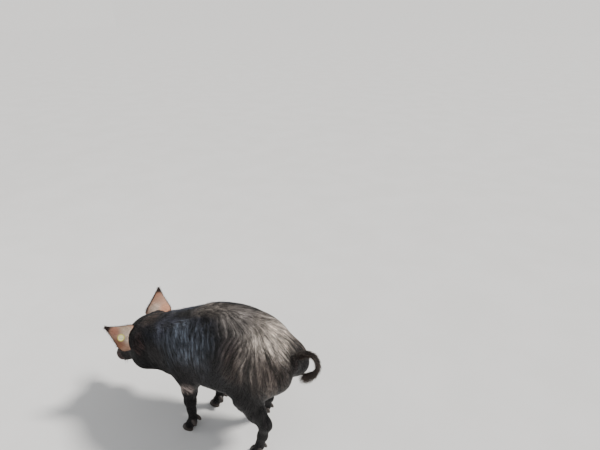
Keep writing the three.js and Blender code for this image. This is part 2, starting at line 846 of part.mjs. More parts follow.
// An ear: a cupped leaf on a solid root, its hollow facing forward. Grown for its seat in the head.
const lieOf = (side) => (side === LEFT ? EAR_LIE.left : EAR_LIE.right);
function earFrame(side) {
  const { root, tip, back } = lieOf(side);
  return new Frame(root, tip, back);
}
function earPoint(side, share, around, depth, filled = false) {
  let i = 0;
  while (i < EAR_ROWS.length - 2 && share > EAR_ROWS[i + 1][0]) i++;
  const [p, q] = [EAR_ROWS[i], EAR_ROWS[i + 1]];
  const t = clamp((share - p[0]) / (q[0] - p[0]), 0, 1);
  const [half, curl, thick, hollow] = [1, 2, 3, 4].map((k) => mix(p[k], q[k], t));
  const a = radians(curl);
  const r = half / Math.sin(a);
  const level = (r * (1 + Math.cos(a))) / 2;
  const phi = around * a;
  const wall = thick * Math.sqrt(1 - 0.75 * around * around);
  const outer = [r * Math.sin(phi), r * Math.cos(phi) - level];
  const inner = [(r - wall) * Math.sin(phi), (r - wall) * Math.cos(phi) - level];
  const chord = r * Math.cos(a) - level;
  inner[1] = Math.min(inner[1], mix(chord - 1, inner[1], filled ? 0 : hollow));
  const [w, n] = depth ? inner : outer;
  const { length, sweep } = lieOf(side);
  const far = share * Math.abs(share);
  return { s: share * length, w: w + sweep * far, n: n - EAR_DROOP * far };
}
function ear(side, grow = 0) {
  const frame = earFrame(side);
  const steps = 10; // faces across the width
  const rings = EAR_ROWS.map(([share], row) => {
    const at = (k, depth) => earPoint(side, share, (2 * k) / steps - 1, depth, grow > 0);
    const line = (depth) => Array.from({ length: steps + 1 }, (_, k) => at(k, depth));
    const outline = [...line(0), ...line(1).reverse().slice(1, -1)];
    const middle = ["w", "n"].map((k) => outline.reduce((sum, p) => sum + p[k], 0) / outline.length);
    return outline.map((p) => {
      const off = new THREE.Vector2(p.w - middle[0], p.n - middle[1]);
      off.setLength(off.length() + grow);
      return frame.world(p.s - (row ? 0 : grow), middle[0] + off.x, middle[1] + off.y);
    });
  });
  return stack(grow ? rings.slice(0, EAR_SEAT_ROWS) : rings);
}

// The round tag on the left ear, its stem through the ear and its button on the hollow side.
function tagFrame() {
  const frame = earFrame(LEFT);
  const on = earPoint(LEFT, TAG.at, TAG.aside, 0);
  const next = earPoint(LEFT, TAG.at + 0.05, TAG.aside, 0);
  const beside = earPoint(LEFT, TAG.at, TAG.aside + 0.05, 0);
  const along = new THREE.Vector3(...frame.turn(next.s - on.s, next.w - on.w, next.n - on.n));
  const across = new THREE.Vector3(...frame.turn(beside.s - on.s, beside.w - on.w, beside.n - on.n));
  const out = along.clone().cross(across);
  const away = new THREE.Vector3(...frame.turn(0, 0, 1));
  if (out.dot(away) < 0) out.negate();
  return new Frame(frame.world(on.s, on.w, on.n), out.toArray(), along.toArray());
}
function spool(frame, rows, sides = 18) {
  return stack(
    rows.map(([out, radius]) =>
      circle(sides, (c, q) => frame.world(out, c * radius, q * radius)),
    ),
  );
}
function tag() {
  const { radius, thick, stem, button, sunk, buttonFrom, buttonTo, point, bevel } = TAG;
  return spool(tagFrame(), [
    [-point[0], point[1]],
    [-buttonFrom, button],
    [-buttonTo, button],
    [-buttonTo + STEP, stem],
    [-sunk, stem],
    [-sunk + STEP, radius],
    [-sunk + thick - bevel[0], radius],
    [-sunk + thick, radius - bevel[1]],
  ]);
}
// The hole in the ear that the tag and its stem sit in.
function tagSeat() {
  const { radius, stem, sunk } = TAG;
  return spool(tagFrame(), [
    [-FREE.behind, stem + GAP],
    [-sunk - GAP, stem + GAP],
    [-sunk - GAP + STEP, radius + GAP],
    [FREE.before, radius + GAP],
  ]);
}

// ---------------------------------------------------------------- feet and tail

// A claw: a flat sole, a wall that rises back to the slanted upper edge, a blunt toe.
function claw(foot, inward) {
  const ring = (front, back, half, zOf, tip) =>
    circle(12, (c, q) => {
      const x = foot[0] + mix(back, -front, (c + 1) / 2);
      const ahead2 = Math.max(0, c) ** 2;
      const y = foot[1] + q * half * (1 - CLAW.narrow * ahead2) + inward * tip * ahead2;
      return [x, y, zOf(x)];
    });
  const upper = (x) => CORONET.front - (x - (foot[0] - CORONET.ahead)) * CORONET.slope - GAP / 2;
  const { half, toe, heel, topFront, topBack, turnIn, bevel } = CLAW;
  return stack([
    ring(toe - bevel, heel - bevel, half - bevel, () => 0, turnIn),
    ring(toe, heel, half, () => bevel * 1.6, turnIn),
    ring(mix(toe, topFront, 0.5), heel, half, (x) => upper(x) * 0.5, turnIn / 2),
    ring(topFront, topBack, half, upper, 0),
  ]);
}
// A dewclaw: a blunt horn behind the pastern.
function dewclaw(foot, outward, grow = 0) {
  const path = DEWCLAW.map(([back, out, z, r], n) => {
    const lift = n ? 0 : grow;
    return [foot[0] + back, foot[1] + outward * out, z + lift, r + grow];
  });
  return tube(path, 7, DEWCLAW_FLAT);
}

// A path with each radius grown, and its first point drawn back.
const grown = (path, grow) => path.map(([x, y, z, r], n) => [x - (n ? 0 : grow), y, z, r + grow]);

// A teat under the belly, its root sunk in the skin.
function teat(x, y) {
  let z = TRUNK_MIDDLE;
  while (bodyField(x, y, z) < 0) z -= 1;
  return stack(TEAT_ROWS.map(([r, drop]) => circle(6, (c, q) => [x + r * c, y + r * q, z - drop])));
}

// ---------------------------------------------------------------- the nodes

const group = new THREE.Group();
const nodes = [];
function place(name, made, color, roughness = ROUGHNESS.coat) {
  const largest = made.decompose().sort((a, b) => b.volume() - a.volume())[0];
  nodes.push({ name, made: largest, color, roughness });
}

const regionOf = (leg, grow) =>
  leg.fore
    ? region(FORELEG_REGION, leg.side * INNER.fore, leg.side * REGION_OUT, grow)
    : region(THIGH_REGION, leg.side * INNER.hind, leg.side * REGION_OUT, grow);

let torso = surface(bodyField, ...TORSO_BOX, CELL.torso);
torso = behind(torso, neckFrame, NECK_FROM);
for (const leg of Object.values(LEGS)) torso = torso.subtract(regionOf(leg, GAP / 2));
torso = torso.subtract(tube(grown(TAIL, GAP).slice(0, TAIL_SEAT_ROWS), TAIL_SIDES));
for (let n = 0; n < TEATS.pairs; n++) {
  const x = TEATS.first + n * TEATS.step;
  for (const side of [LEFT, RIGHT]) torso = torso.add(teat(x, side * TEATS.side));
}
place("torso", torso, COLOUR.black);

const neckNode = surface(bodyField, ...NECK_BOX, CELL.neck);
place("neck", behind(ahead(neckNode, neckFrame, NECK_FROM), collarFrame, -COLLAR.back), COLOUR.black);

const mouth = mouthCut();
let head = surface(bodyField, ...HEAD_BOX, CELL.head);
head = behind(ahead(head, collarFrame, -COLLAR.back), headFrame, SNOUT_FROM);
head = head.subtract(mouth);
let snout = ahead(surface(bodyField, ...SNOUT_BOX, CELL.snout), headFrame, SNOUT_FROM);
snout = snout.add(noseDisc()).subtract(mouth);
for (const side of [LEFT, RIGHT]) {
  head = head.add(ball(eyeCentre(side), EYE.radius + EYE.lid, 3));
  head = head.subtract(ball(eyeCentre(side), EYE.radius + GAP, 3)).subtract(eyeOpening(side));
  head = head.subtract(ear(side, GAP));
  snout = snout.subtract(nostril(side));
}
place("head", head, COLOUR.black);
place("snout", snout, COLOUR.skin, ROUGHNESS.snout);

for (const [name, side] of Object.entries(SIDES)) {
  place(`eye_${name}`, ball(eyeCentre(side), EYE.radius), COLOUR.eye, ROUGHNESS.eye);
  const shell = side === LEFT ? ear(side).subtract(tagSeat()) : ear(side);
  place(`ear_${name}`, shell, COLOUR.ear);
}
place("ear_tag", tag(), COLOUR.tag, ROUGHNESS.tag);
place("tail", tube(TAIL, TAIL_SIDES), COLOUR.black);

// The flesh of one leg between two heights, inside its own region.
function legPiece(leg, z0, z1, cell) {
  const x = legJoints(leg).foot[0];
  const side = leg.side * LEG_BOX.aside;
  const low = [x - LEG_BOX.ahead, Math.min(0, side), z0];
  const high = [x + LEG_BOX.behind, Math.max(0, side), z1];
  return surface(bodyField, low, high, cell).intersect(regionOf(leg, -GAP / 2));
}

for (const [name, leg] of Object.entries(LEGS)) {
  const side = leg.side === LEFT ? "left" : "right";
  const { foot } = legJoints(leg);
  const split = leg.fore ? KNEE_Z : STIFLE_Z;
  const top = leg.fore ? LEG_BOX.foreTop : LEG_BOX.hindTop;
  const upper = legPiece(leg, split - LEG_BOX.lap, top, leg.fore ? CELL.foreUpper : CELL.hindUpper);
  place(leg.fore ? `upper_foreleg_${side}` : `thigh_${side}`, above(upper, split), COLOUR.black);
  let lower = legPiece(leg, 0, split + LEG_BOX.lowerLap, leg.fore ? CELL.foreLower : CELL.hindLower);
  lower = below(lower, split);
  const level = CORONET.front + (foot[0] - CORONET.ahead) * CORONET.slope;
  const length = Math.hypot(CORONET.slope, 1);
  lower = lower.trimByPlane([CORONET.slope / length, 0, 1 / length], level / length + GAP / 2);
  for (const k of [-1, 1]) {
    const which = k === leg.side ? "outer" : "inner";
    const hoof = claw([foot[0], foot[1] + k * DIGIT_SPREAD], -k);
    place(`${which}_claw_${name}`, hoof, COLOUR.horn, ROUGHNESS.horn);
    place(`${which}_dewclaw_${name}`, dewclaw(foot, k), COLOUR.horn, ROUGHNESS.horn);
    lower = lower.subtract(dewclaw(foot, k, GAP));
  }
  place(leg.fore ? `lower_foreleg_${side}` : `shank_${side}`, lower, COLOUR.black);
}

// The box's bottom centre becomes the origin.
const box = new THREE.Box3();
for (const { made } of nodes) {
  const b = made.boundingBox();
  box.expandByPoint(new THREE.Vector3(...b.min)).expandByPoint(new THREE.Vector3(...b.max));
}
const middle = box.getCenter(new THREE.Vector3());
for (const { name, made, color, roughness } of nodes) {
  const mesh = made.translate([-middle.x, -middle.y, -box.min.z]).getMesh();
  const geometry = new THREE.BufferGeometry();
  geometry.setAttribute("position", new THREE.BufferAttribute(mesh.vertProperties.slice(), 3));
  geometry.setIndex(new THREE.BufferAttribute(mesh.triVerts.slice(), 1));
  geometry.computeVertexNormals();
  const material = new THREE.MeshStandardMaterial({ color, roughness, metalness: 0 });
  const node = new THREE.Mesh(geometry, material);
  node.name = name;
  group.add(node);
}

export default group;
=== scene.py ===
"""A young, plump, black farm pig standing with its head lowered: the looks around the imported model.

Sizes are in millimetres in the model's driving frame (head along -X, left side at -Y, feet on z = 0).
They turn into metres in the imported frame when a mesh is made. The flesh is the same smooth field of
lofts and limbs as the solids, a coat's depth inside them, with finer folds, and the coat grows on it.
"""
import math

import bpy
import numpy as np
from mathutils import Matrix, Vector
from mathutils.bvhtree import BVHTree
from mathutils.kdtree import KDTree


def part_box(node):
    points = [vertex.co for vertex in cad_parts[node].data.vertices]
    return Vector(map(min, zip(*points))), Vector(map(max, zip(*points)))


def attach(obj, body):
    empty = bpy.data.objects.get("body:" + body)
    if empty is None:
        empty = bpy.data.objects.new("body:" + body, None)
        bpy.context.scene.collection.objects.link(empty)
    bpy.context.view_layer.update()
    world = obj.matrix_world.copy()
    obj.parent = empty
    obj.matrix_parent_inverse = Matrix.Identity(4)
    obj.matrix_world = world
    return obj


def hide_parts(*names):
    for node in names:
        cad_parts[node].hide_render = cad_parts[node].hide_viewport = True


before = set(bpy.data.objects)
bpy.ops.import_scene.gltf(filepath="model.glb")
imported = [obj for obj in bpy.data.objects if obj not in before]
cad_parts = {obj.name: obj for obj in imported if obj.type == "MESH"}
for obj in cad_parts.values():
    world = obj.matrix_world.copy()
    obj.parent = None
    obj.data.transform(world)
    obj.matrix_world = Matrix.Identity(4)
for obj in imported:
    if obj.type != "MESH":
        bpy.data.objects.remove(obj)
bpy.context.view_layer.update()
LEFT, RIGHT = -1, 1
SIDES = {"left": LEFT, "right": RIGHT}
RANDOM = np.random.default_rng(41)


# ---------------------------------------------------------------- driving sizes

# Trunk sections along X: x, height of the widest line, up to the back, down to the belly, half width
TRUNK = [
    [318, 402, 12, 28, 22],
    [302, 404, 33, 58, 52],
    [268, 406, 73, 98, 92],
    [200, 400, 128, 134, 133],
    [110, 388, 165, 152, 145],
    [20, 380, 170, 151, 147],
    [-60, 372, 156, 142, 140],
    [-130, 358, 128, 138, 124],
    [-190, 350, 108, 140, 104],
    [-240, 346, 86, 118, 82],
]
TRUNK_SQUARENESS = 2.25
# Where the neck and the head begin and how far they dip, and their sections, which are as the trunk's
# but measured in their own axes. The jaw is in the head's axes.
NECK_START, NECK_PITCH = (-60, 0, 366), 5
NECK = [
    [-20, 0, 60, 60, 60],
    [40, 0, 98, 108, 98],
    [100, -2, 104, 134, 108],
    [160, -6, 93, 150, 103],
    [215, -10, 89, 152, 96],
    [270, -12, 73, 128, 86],
]
NECK_SQUARENESS = 2.1
POLL, HEAD_PITCH = (-334, 0, 350), 45
HEAD = [
    [-40, -14, 34, 50, 50],
    [-12, -16, 68, 70, 74],
    [20, -18, 80, 82, 85],
    [56, -19, 79, 84, 86],
    [92, -19, 66, 76, 75],
    [124, -18, 51, 63, 59],
    [156, -17, 39, 52, 46],
    [188, -15, 31, 43, 38],
    [216, -12, 27, 34, 33],
    [244, -8, 25, 27, 30],
]
HEAD_SQUARENESS = 2.2
JAW = [
    [30, -74, 34, 36, 50],
    [84, -70, 29, 31, 44],
    [136, -56, 21, 24, 32],
    [184, -44, 15, 17, 25],
    [226, -37, 11, 10, 20],
]
JAW_SQUARENESS = 2
# Round forms, each as its centre and radii. Cheek and brow are in the head's axes: along, side and up
CHEEK = ((68, 48, -72), (66, 44, 54))
BROW = ((82, 45, 30), (30, 17, 14))
EAR_MOUNDS = [((-350, -66, 338), (38, 34, 36)), ((-350, 64, 344), (38, 34, 36))]
SHOULDER = ((-100, 68, 358), (78, 62, 112))
HAMS = [((232, -60, 386), (88, 60, 74)), ((240, 62, 364), (99, 58, 76))]
# The disc of the snout: along the face, half width, half height
DISC = [
    [229, 24, 21],
    [234, 27.5, 24],
    [239, 32, 27],
    [243, 34.6, 28.8],
    [247, 35.8, 29.8],
    [250, 36, 30],
    [252.5, 35.4, 29.6],
    [254.2, 34, 28.4],
    [255.2, 31.8, 26.4],
    [255.2, 28.5, 23.5],
    [254.6, 25, 20.5],
    [254.3, 20, 16.5],
    [254.2, 14, 11.5],
    [254.3, 7, 5.6],
    [254.4, 1.2, 1],
]
DISC_UP = -5
NOSTRIL = {"side": 13.5, "up": -3, "wide": 5.6, "tall": 7.6, "deep": 17}
# The line of the mouth seen from the side, from the lip back, in the head's axes: along and up
MOUTH_LINE = [
    (247, -44), (238, -37), (222, -35.5), (200, -39), (170, -47), (138, -56), (118, -57), (108, -53),
]
EYE = {"along": 94, "side": 56.5, "up": 14, "radius": 11, "lid": 2.8}
ORBIT_RADII = (19, 14, 14)
EYE_OPENING = {"half": 10.4, "tall": 6.4}
# The ears: the middle of the root, the way to the tip, the way that the back faces, and the tip's sweep
EAR_LIE = {
    LEFT: {"root": (-344, -78, 338), "tip": (-0.8, -0.36, 0.42), "back": (0.53, -0.59, 0.53),
           "length": 131, "sweep": 9},
    RIGHT: {"root": (-353, 65, 355), "tip": (-0.46, 0.67, 0.58), "back": (0.22, -0.5, 0.8),
            "length": 142, "sweep": 0},
}
# Ear sections: share of the length, half width, curl in degrees, thickness, how far it is hollow
EAR_ROWS = [
    [-0.12, 28, 80, 9, 0],
    [0, 34, 84, 9, 0],
    [0.1, 46, 76, 8.5, 0.2],
    [0.2, 54, 64, 7, 0.65],
    [0.31, 53, 54, 6, 1],
    [0.43, 43.5, 47, 5.2, 1],
    [0.56, 32.5, 42, 4.6, 1],
    [0.69, 22, 38, 4, 1],
    [0.81, 13.5, 36, 3.6, 1],
    [0.91, 7.2, 32, 3, 1],
    [1, 2.6, 26, 2.4, 1],
]
# The ear tag: its sizes, and where it is by the share of the ear's length and the place around it
TAG = {"radius": 14, "thick": 2.4, "at": 0.41, "aside": -0.12, "stem": 2.6, "button": 6}
# The tail's curve from its root: x, y, z and radius
TAIL = [
    [303, 0, 424, 13.5],
    [318, 0, 440, 13],
    [336, 0, 455, 12],
    [356, 1, 465, 10.5],
    [376, 2, 465, 9],
    [390, 3, 453, 7.8],
    [396, 3, 435, 7],
    [397, 1, 417, 6.8],
    [391, -3, 402, 7.2],
    [381, -8, 392, 6.8],
    [371, -12, 386, 4.8],
    [362, -14, 382, 1.8],
]
# The feet: where the left ones are along X, how far each is moved from there, and how far out it is
FORE_X, HIND_X = -98, 200
LEGS = {
    "foreleg_left": {"side": LEFT, "fore": True, "shift": 0, "y": 88},
    "foreleg_right": {"side": RIGHT, "fore": True, "shift": 27, "y": 60},
    "hindleg_left": {"side": LEFT, "fore": False, "shift": 0, "y": 90},
    "hindleg_right": {"side": RIGHT, "fore": False, "shift": -68, "y": 90},
}
DIGIT_SPREAD = 13.4
# The teats: the first pair along X, the step to the next, how many pairs, and how far out they are
TEATS = {"first": -12, "step": 34, "pairs": 5, "side": 29}
# The upper edge of the hoofs: its height in front, how far ahead of the foot that is, and its slope
CORONET = {"front": 27, "toe": 30, "slope": 0.286}
CLAW = {"half": 11.4, "toe": 43, "heel": 7, "top_front": 28, "top_back": 6}
# A dewclaw's curve, behind and outward from the foot's middle: x, y, z and radius
DEWCLAW = [
    [8, 9, 62, 5.8],
    [16, 12, 56, 7.6],
    [23, 14.5, 49, 7.2],
    [28.5, 16, 42.5, 4.5],
    [30, 16.5, 40, 1.8],
]
KNEE_Z, HOCK_Z = 142, 178
# The grid that the skin's mesh starts from
NET_CELL = 6.0
NET_LOW, NET_HIGH = (-560, -180, 0), (350, 180, 575)


# ---------------------------------------------------------------- small maths

def unit(v):
    """Vectors brought to a length of 1."""
    v = np.asarray(v, float)
    return v / (np.linalg.norm(v, axis=-1, keepdims=True) + 1e-12)


def smoothstep(low, high, v):
    """0 up to low and 1 from high on, with a soft step between them."""
    t = np.clip((v - low) / (high - low), 0, 1)
    return t * t * (3 - 2 * t)


def flattened(v, normal):
    """Vectors without the part of them that lies along the normals."""
    return v - (v * normal).sum(1)[:, None] * normal


def circle(count):
    """So many angles, evenly set round a circle."""
    return 2 * np.pi * np.arange(count) / count


def smooth_union(a, b, k):
    """The smooth union of two distances, rounded over a width k."""
    h = np.clip(0.5 + 0.5 * (b - a) / k, 0, 1)
    return b + (a - b) * h - k * h * (1 - h)


def sections(rows, s):
    """The values of a row of sections at the distances s, by a cubic through them."""
    table = np.array(sorted(rows), float)
    at, values = table[:, 0], table[:, 1:]
    i = np.clip(np.searchsorted(at, s) - 1, 0, len(at) - 2)
    before, after = np.maximum(i - 1, 0), np.minimum(i + 2, len(at) - 1)
    span = at[i + 1] - at[i]
    t = np.clip((s - at[i]) / span, 0, 1)[:, None]
    m0 = (values[i + 1] - values[before]) * (span / (at[i + 1] - at[before]))[:, None]
    m1 = (values[after] - values[i]) * (span / (at[after] - at[i]))[:, None]
    t2, t3 = t * t, t * t * t
    out = (2 * t3 - 3 * t2 + 1) * values[i] + (t3 - 2 * t2 + t) * m0
    out += (3 * t2 - 2 * t3) * values[i + 1] + (t3 - t2) * m1
    return out.T


class Axes:
    """A frame with its own axes: along, side and up."""

    def __init__(self, origin, along, up):
        self.origin = np.array(origin, float)
        self.along = unit(along)
        self.side = unit(np.cross(self.along, up))
        self.up = np.cross(self.side, self.along)
        self.turn = np.stack([self.along, self.side, self.up])

    def local(self, p):
        return (p - self.origin) @ self.turn.T

    def world(self, s, w, v):
        s, w, v = np.broadcast_arrays(np.asarray(s, float), w, v)
        return self.origin + np.stack([s, w, v], -1) @ self.turn


def pitched(origin, pitch):
    """Axes that point forward and dip by a pitch in degrees."""
    c, s = math.cos(math.radians(pitch)), math.sin(math.radians(pitch))
    return Axes(origin, (-c, 0, -s), (-s, 0, c))


def value_noise(p, size, seed):
    """Smooth noise from -1 to 1 with bumps of about the size given."""
    q = p / size
    cell = np.floor(q).astype(np.int64)
    t = q - cell
    t = t * t * (3 - 2 * t)
    total = np.zeros(len(p))
    for corner in range(8):
        o = np.array([corner & 1, corner >> 1 & 1, corner >> 2 & 1])
        n = (cell + o) @ np.array([73856093, 19349663, 83492791]) + seed * 2654435761
        n = (n ^ (n >> 13)) * 1274126177 & 0x7FFFFFFF
        n = (n ^ (n >> 15)) * 2246822519 & 0x7FFFFFFF
        weight = np.prod(np.where(o, t, 1 - t), axis=1)
        total += weight * (n / 0x7FFFFFFF)
    return 2 * total - 1


# ---------------------------------------------------------------- fields of flesh

def loft(axes, rows, exponent):
    """The distance to a body through oval sections, squared off where the exponent is over 2."""
    low, high = min(r[0] for r in rows), max(r[0] for r in rows)

    def field(p):
        s, w, v = axes.local(p).T
        at = np.clip(s, low, high)
        centre, up, down, half = sections(rows, at)
        tall = np.where(v > centre, up, down)
        a, b = np.abs(w) / half, np.abs(v - centre) / tall
        k = np.power(np.power(a, exponent) + np.power(b, exponent), 1 / exponent)
        k = np.maximum(k, 1e-3)
        slope = np.hypot(np.power(a / k, exponent - 1) / half, np.power(b / k, exponent - 1) / tall)
        d = (k - 1) / slope
        over = np.abs(s - at)
        return np.where(over == 0, d, np.where(d > 0, np.hypot(d, over), np.maximum(d, over)))

    return field


def ellipsoid(centre, radii, axes=None):
    """The distance to a round body, in axes of its own or the model's."""
    centre, radii = np.array(centre, float), np.array(radii, float)

    def field(p):
        q = ((axes.local(p) if axes else p) - centre) / radii
        k0 = np.linalg.norm(q, axis=1)
        k1 = np.linalg.norm(q / radii, axis=1)
        return k0 * (k0 - 1) / np.maximum(k1, 1e-6)

    return field


def limb(joints, sideways, k):
    """The distance to a chain of cones through joints (x, y, z, radius), rounded together over k."""
    joints = [np.array(j, float) for j in joints]

    def field(p):
        d = None
        for a, b in zip(joints, joints[1:]):
            ab, ap = b[:3] - a[:3], p - a[:3]
            t = np.clip(ap @ ab / (ab @ ab), 0, 1)
            off = ap - t[:, None] * ab
            one = np.sqrt(off[:, 0] ** 2 + (off[:, 1] / sideways) ** 2 + off[:, 2] ** 2)
            one -= a[3] + (b[3] - a[3]) * t
            d = one if d is None else smooth_union(d, one, k)
        return d

    return field


def joined(d, p, field, k, low, high):
    """d joined smoothly to a field that is worked out only within a box."""
    inside = np.all((p > low) & (p < high), axis=1)
    if inside.any():
        d = d.copy()
        d[inside] = smooth_union(d[inside], field(p[inside]), k)
    return d


head_axes = pitched(POLL, HEAD_PITCH)
neck_axes = pitched(NECK_START, NECK_PITCH)
trunk = loft(Axes((0, 0, 0), (1, 0, 0), (0, 0, 1)), TRUNK, TRUNK_SQUARENESS)
neck = loft(neck_axes, NECK, NECK_SQUARENESS)
skull = loft(head_axes, HEAD, HEAD_SQUARENESS)
jaw = loft(head_axes, JAW, JAW_SQUARENESS)


def mirrored(centre, radii, axes=None):
    """An ellipsoid on the left and the same on the right."""
    along, out, up = centre
    return [ellipsoid((along, side * out, up), radii, axes) for side in (LEFT, RIGHT)]


cheeks = mirrored(*CHEEK, head_axes)
brows = mirrored(*BROW, head_axes)
orbits = mirrored((EYE["along"], EYE["side"] - 2, EYE["up"]), ORBIT_RADII, head_axes)
mounds = [ellipsoid(*mound) for mound in EAR_MOUNDS]


def lip(side):
    """The roll of the upper lip, along the middle of the mouth's line."""
    joints = []
    for s, v in MOUTH_LINE[1:6]:
        half = sections(HEAD, np.array([float(s)]))[3][0] * 0.78
        joints.append([*head_axes.world(s, side * half, v + 5), 6.5])
    return limb(joints, 1, 5)


lips = [lip(side) for side in (LEFT, RIGHT)]


# The forms of the head, and over what width each is rounded into it
HEAD_FORMS = [(cheeks, 34), (mounds, 24), (brows, 16), (orbits, 9), (lips, 7)]
JAW_ROUNDING = 16


def head_field(p):
    """The distance to the head, without its ears and the snout's disc."""
    d = smooth_union(skull(p), jaw(p), JAW_ROUNDING)
    for group, k in HEAD_FORMS:
        for part in group:
            d = smooth_union(d, part(p), k)
    return d


def foot_of(leg):
    """The middle of a foot, on the floor."""
    x = (FORE_X if leg["fore"] else HIND_X) + leg["shift"]
    return np.array([x, leg["side"] * leg["y"], 0.0])


def column_of(leg):
    """A leg's joints from the top down: x, y, z and radius."""
    s, fx, fy = leg["side"], foot_of(leg)[0], leg["y"]
    if leg["fore"]:
        return [
            [-112, s * 70, 325, 58],
            [-88, s * 84, 258, 44],
            [-84 + (fx + 84) * 0.6, s * (87 + (fy - 87) * 0.4), 196, 30],
            [fx + 2, s * (86 + (fy - 86) * 0.7), KNEE_Z, 23.5],
            [fx + 4, s * (86 + (fy - 86) * 0.9), 98, 17.5],
            [fx + 6, s * fy, 58, 19],
        ]
    hip = leg["shift"] * 0.4
    return [
        [254, s * 54, 388, 64],
        [200 + hip * 0.5, s * 78, 328, 55],
        [168 + hip, s * 88, 282, 60],
        [(200 + fx) / 2, s * 91, 222, 39],
        [fx + 34, s * 88, 168, 23],
        [fx + 22, s * 87, 108, 18],
        [fx + 10, s * fy, 58, 19],
    ]


def leg_field(leg):
    """The distance to a leg: its shaft, two digits and, behind, the point of the hock."""
    foot, column = foot_of(leg), column_of(leg)
    shaft = limb(column, 0.84, 16)
    last = column[-1]
    digits = [
        limb([
            [last[0], last[1] + k * 6, last[2] - 4, 15],
            [foot[0] - 6, foot[1] + k * DIGIT_SPREAD, 28, 14],
            [foot[0] - 12, foot[1] + k * DIGIT_SPREAD, 8, 15],
        ], 0.82, 8)
        for k in (-1, 1)
    ]
    heel = None if leg["fore"] else ellipsoid((foot[0] + 46, foot[1] - leg["side"] * 2, 186), (15, 11, 26))

    def field(p):
        d = smooth_union(shaft(p), np.minimum(digits[0](p), digits[1](p)), 9)
        return d if heel is None else smooth_union(d, heel(p), 18)

    return field


leg_fields = {name: leg_field(leg) for name, leg in LEGS.items()}
hams = [ellipsoid(*ham) for ham in HAMS]
shoulders = mirrored(*SHOULDER)
# The box that the head's field counts in, and the widths over which the parts are rounded together
HEAD_REACH = ((-620, -190, 60), (-190, 190, 520))
ROUNDING = {"neck": 50, "ham": 28, "shoulder": 40, "head": 46, "leg": 30}


def leg_reach(leg):
    """The corners of the box that a leg's field counts in."""
    left, right = (-190, 60) if leg["side"] == LEFT else (-60, 190)
    front, back, top = (-260, 60, 440) if leg["fore"] else (20, 390, 520)
    return (front, left, -80), (back, right, top)


def body_field(p):
    """The distance to the flesh as the solids have it, below 0 inside."""
    d = smooth_union(trunk(p), neck(p), ROUNDING["neck"])
    for ham in hams:
        d = smooth_union(d, ham(p), ROUNDING["ham"])
    for shoulder in shoulders:
        d = smooth_union(d, shoulder(p), ROUNDING["shoulder"])
    d = joined(d, p, head_field, ROUNDING["head"], *HEAD_REACH)
    for name, leg in LEGS.items():
        d = joined(d, p, leg_fields[name], ROUNDING["leg"], *leg_reach(leg))
    return d


def eye_centre(side):
    """The middle of an eyeball."""
    return head_axes.world(EYE["along"], side * EYE["side"], EYE["up"])


def eye_axes(side):
    """Axes from the middle of an eyeball out through its front."""
    out = head_axes.world(0.34, side * 0.92, 0.2) - head_axes.origin
    return Axes(eye_centre(side), out, head_axes.world(0.1, 0, 1) - head_axes.origin)


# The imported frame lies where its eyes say: metres there are these millimetres plus a shift.
SHIFT = np.mean([np.array(corner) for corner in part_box("eye_left")], axis=0) * 1000 - eye_centre(LEFT)


# ---------------------------------------------------------------- meshes as arrays

def placed(name, data):
    """A new object in the scene for a mesh, a light or a camera."""
    made = bpy.data.objects.new(name, data)
    bpy.context.scene.collection.objects.link(made)
    return made


def new_object(name, points, faces):
    """A smooth object from points in driving millimetres and faces of one size."""
    mesh = bpy.data.meshes.new(name)
    points, faces = np.asarray(points, float), np.asarray(faces, np.int32)
    mesh.vertices.add(len(points))
    mesh.vertices.foreach_set("co", ((points + SHIFT) / 1000).astype(np.float32).ravel())
    size = faces.shape[1]
    mesh.loops.add(faces.size)
    mesh.loops.foreach_set("vertex_index", faces.ravel())
    mesh.polygons.add(len(faces))
    mesh.polygons.foreach_set("loop_start", np.arange(0, faces.size, size, dtype=np.int32))
    mesh.polygons.foreach_set("use_smooth", np.ones(len(faces), bool))
    mesh.update(calc_edges=True)
    return placed(name, mesh)


def arrays_of(made):
    """The points, in driving millimetres, and the triangles of an object's mesh."""
    mesh = made.data
    mesh.calc_loop_triangles()
    points = np.empty(len(mesh.vertices) * 3, np.float32)
    mesh.vertices.foreach_get("co", points)
    faces = np.empty(len(mesh.loop_triangles) * 3, np.int32)
    mesh.loop_triangles.foreach_get("vertices", faces)
    return points.reshape(-1, 3).astype(float) * 1000 - SHIFT, faces.reshape(-1, 3)


def boolean(points, faces, others, operation):
    """The first body joined with, or cut by, each of the other closed bodies."""
    base = new_object("base", points, faces)
    for other in others:
        tool = new_object("tool", *other)
        step = base.modifiers.new("cut", "BOOLEAN")
        step.operation = operation
        step.solver = "MANIFOLD"
        step.object = tool
        mesh = bpy.data.meshes.new_from_object(base.evaluated_get(bpy.context.evaluated_depsgraph_get()))
        if not len(mesh.polygons):
            raise RuntimeError("a boolean gave an empty mesh")
        base.modifiers.clear()
        base.data = mesh
        bpy.data.objects.remove(tool)
    out = arrays_of(base)
    bpy.data.objects.remove(base)
    return out


def stack(rings):
    """A closed body through rings of as many points, from the first to the last, with flat caps."""
    rings = [np.asarray(r, float) for r in rings]
    count = len(rings[0])
    points = np.concatenate(rings + [rings[0].mean(0)[None], rings[-1].mean(0)[None]])
    faces = []
    for n in range(len(rings) - 1):
        for k in range(count):
            a, b = n * count + k, n * count + (k + 1) % count
            faces += [(a, b, b + count), (a, b + count, a + count)]
    first, last = len(points) - 2, len(points) - 1
    end = (len(rings) - 1) * count
    for k in range(count):
        faces.append((first, (k + 1) % count, k))
        faces.append((last, end + k, end + (k + 1) % count))
    faces = np.array(faces)
    a, b, c = (points[faces[:, n]] for n in range(3))
    if np.einsum("ij,ij->", a, np.cross(b, c)) < 0:
        faces = faces[:, ::-1]
    return points, faces


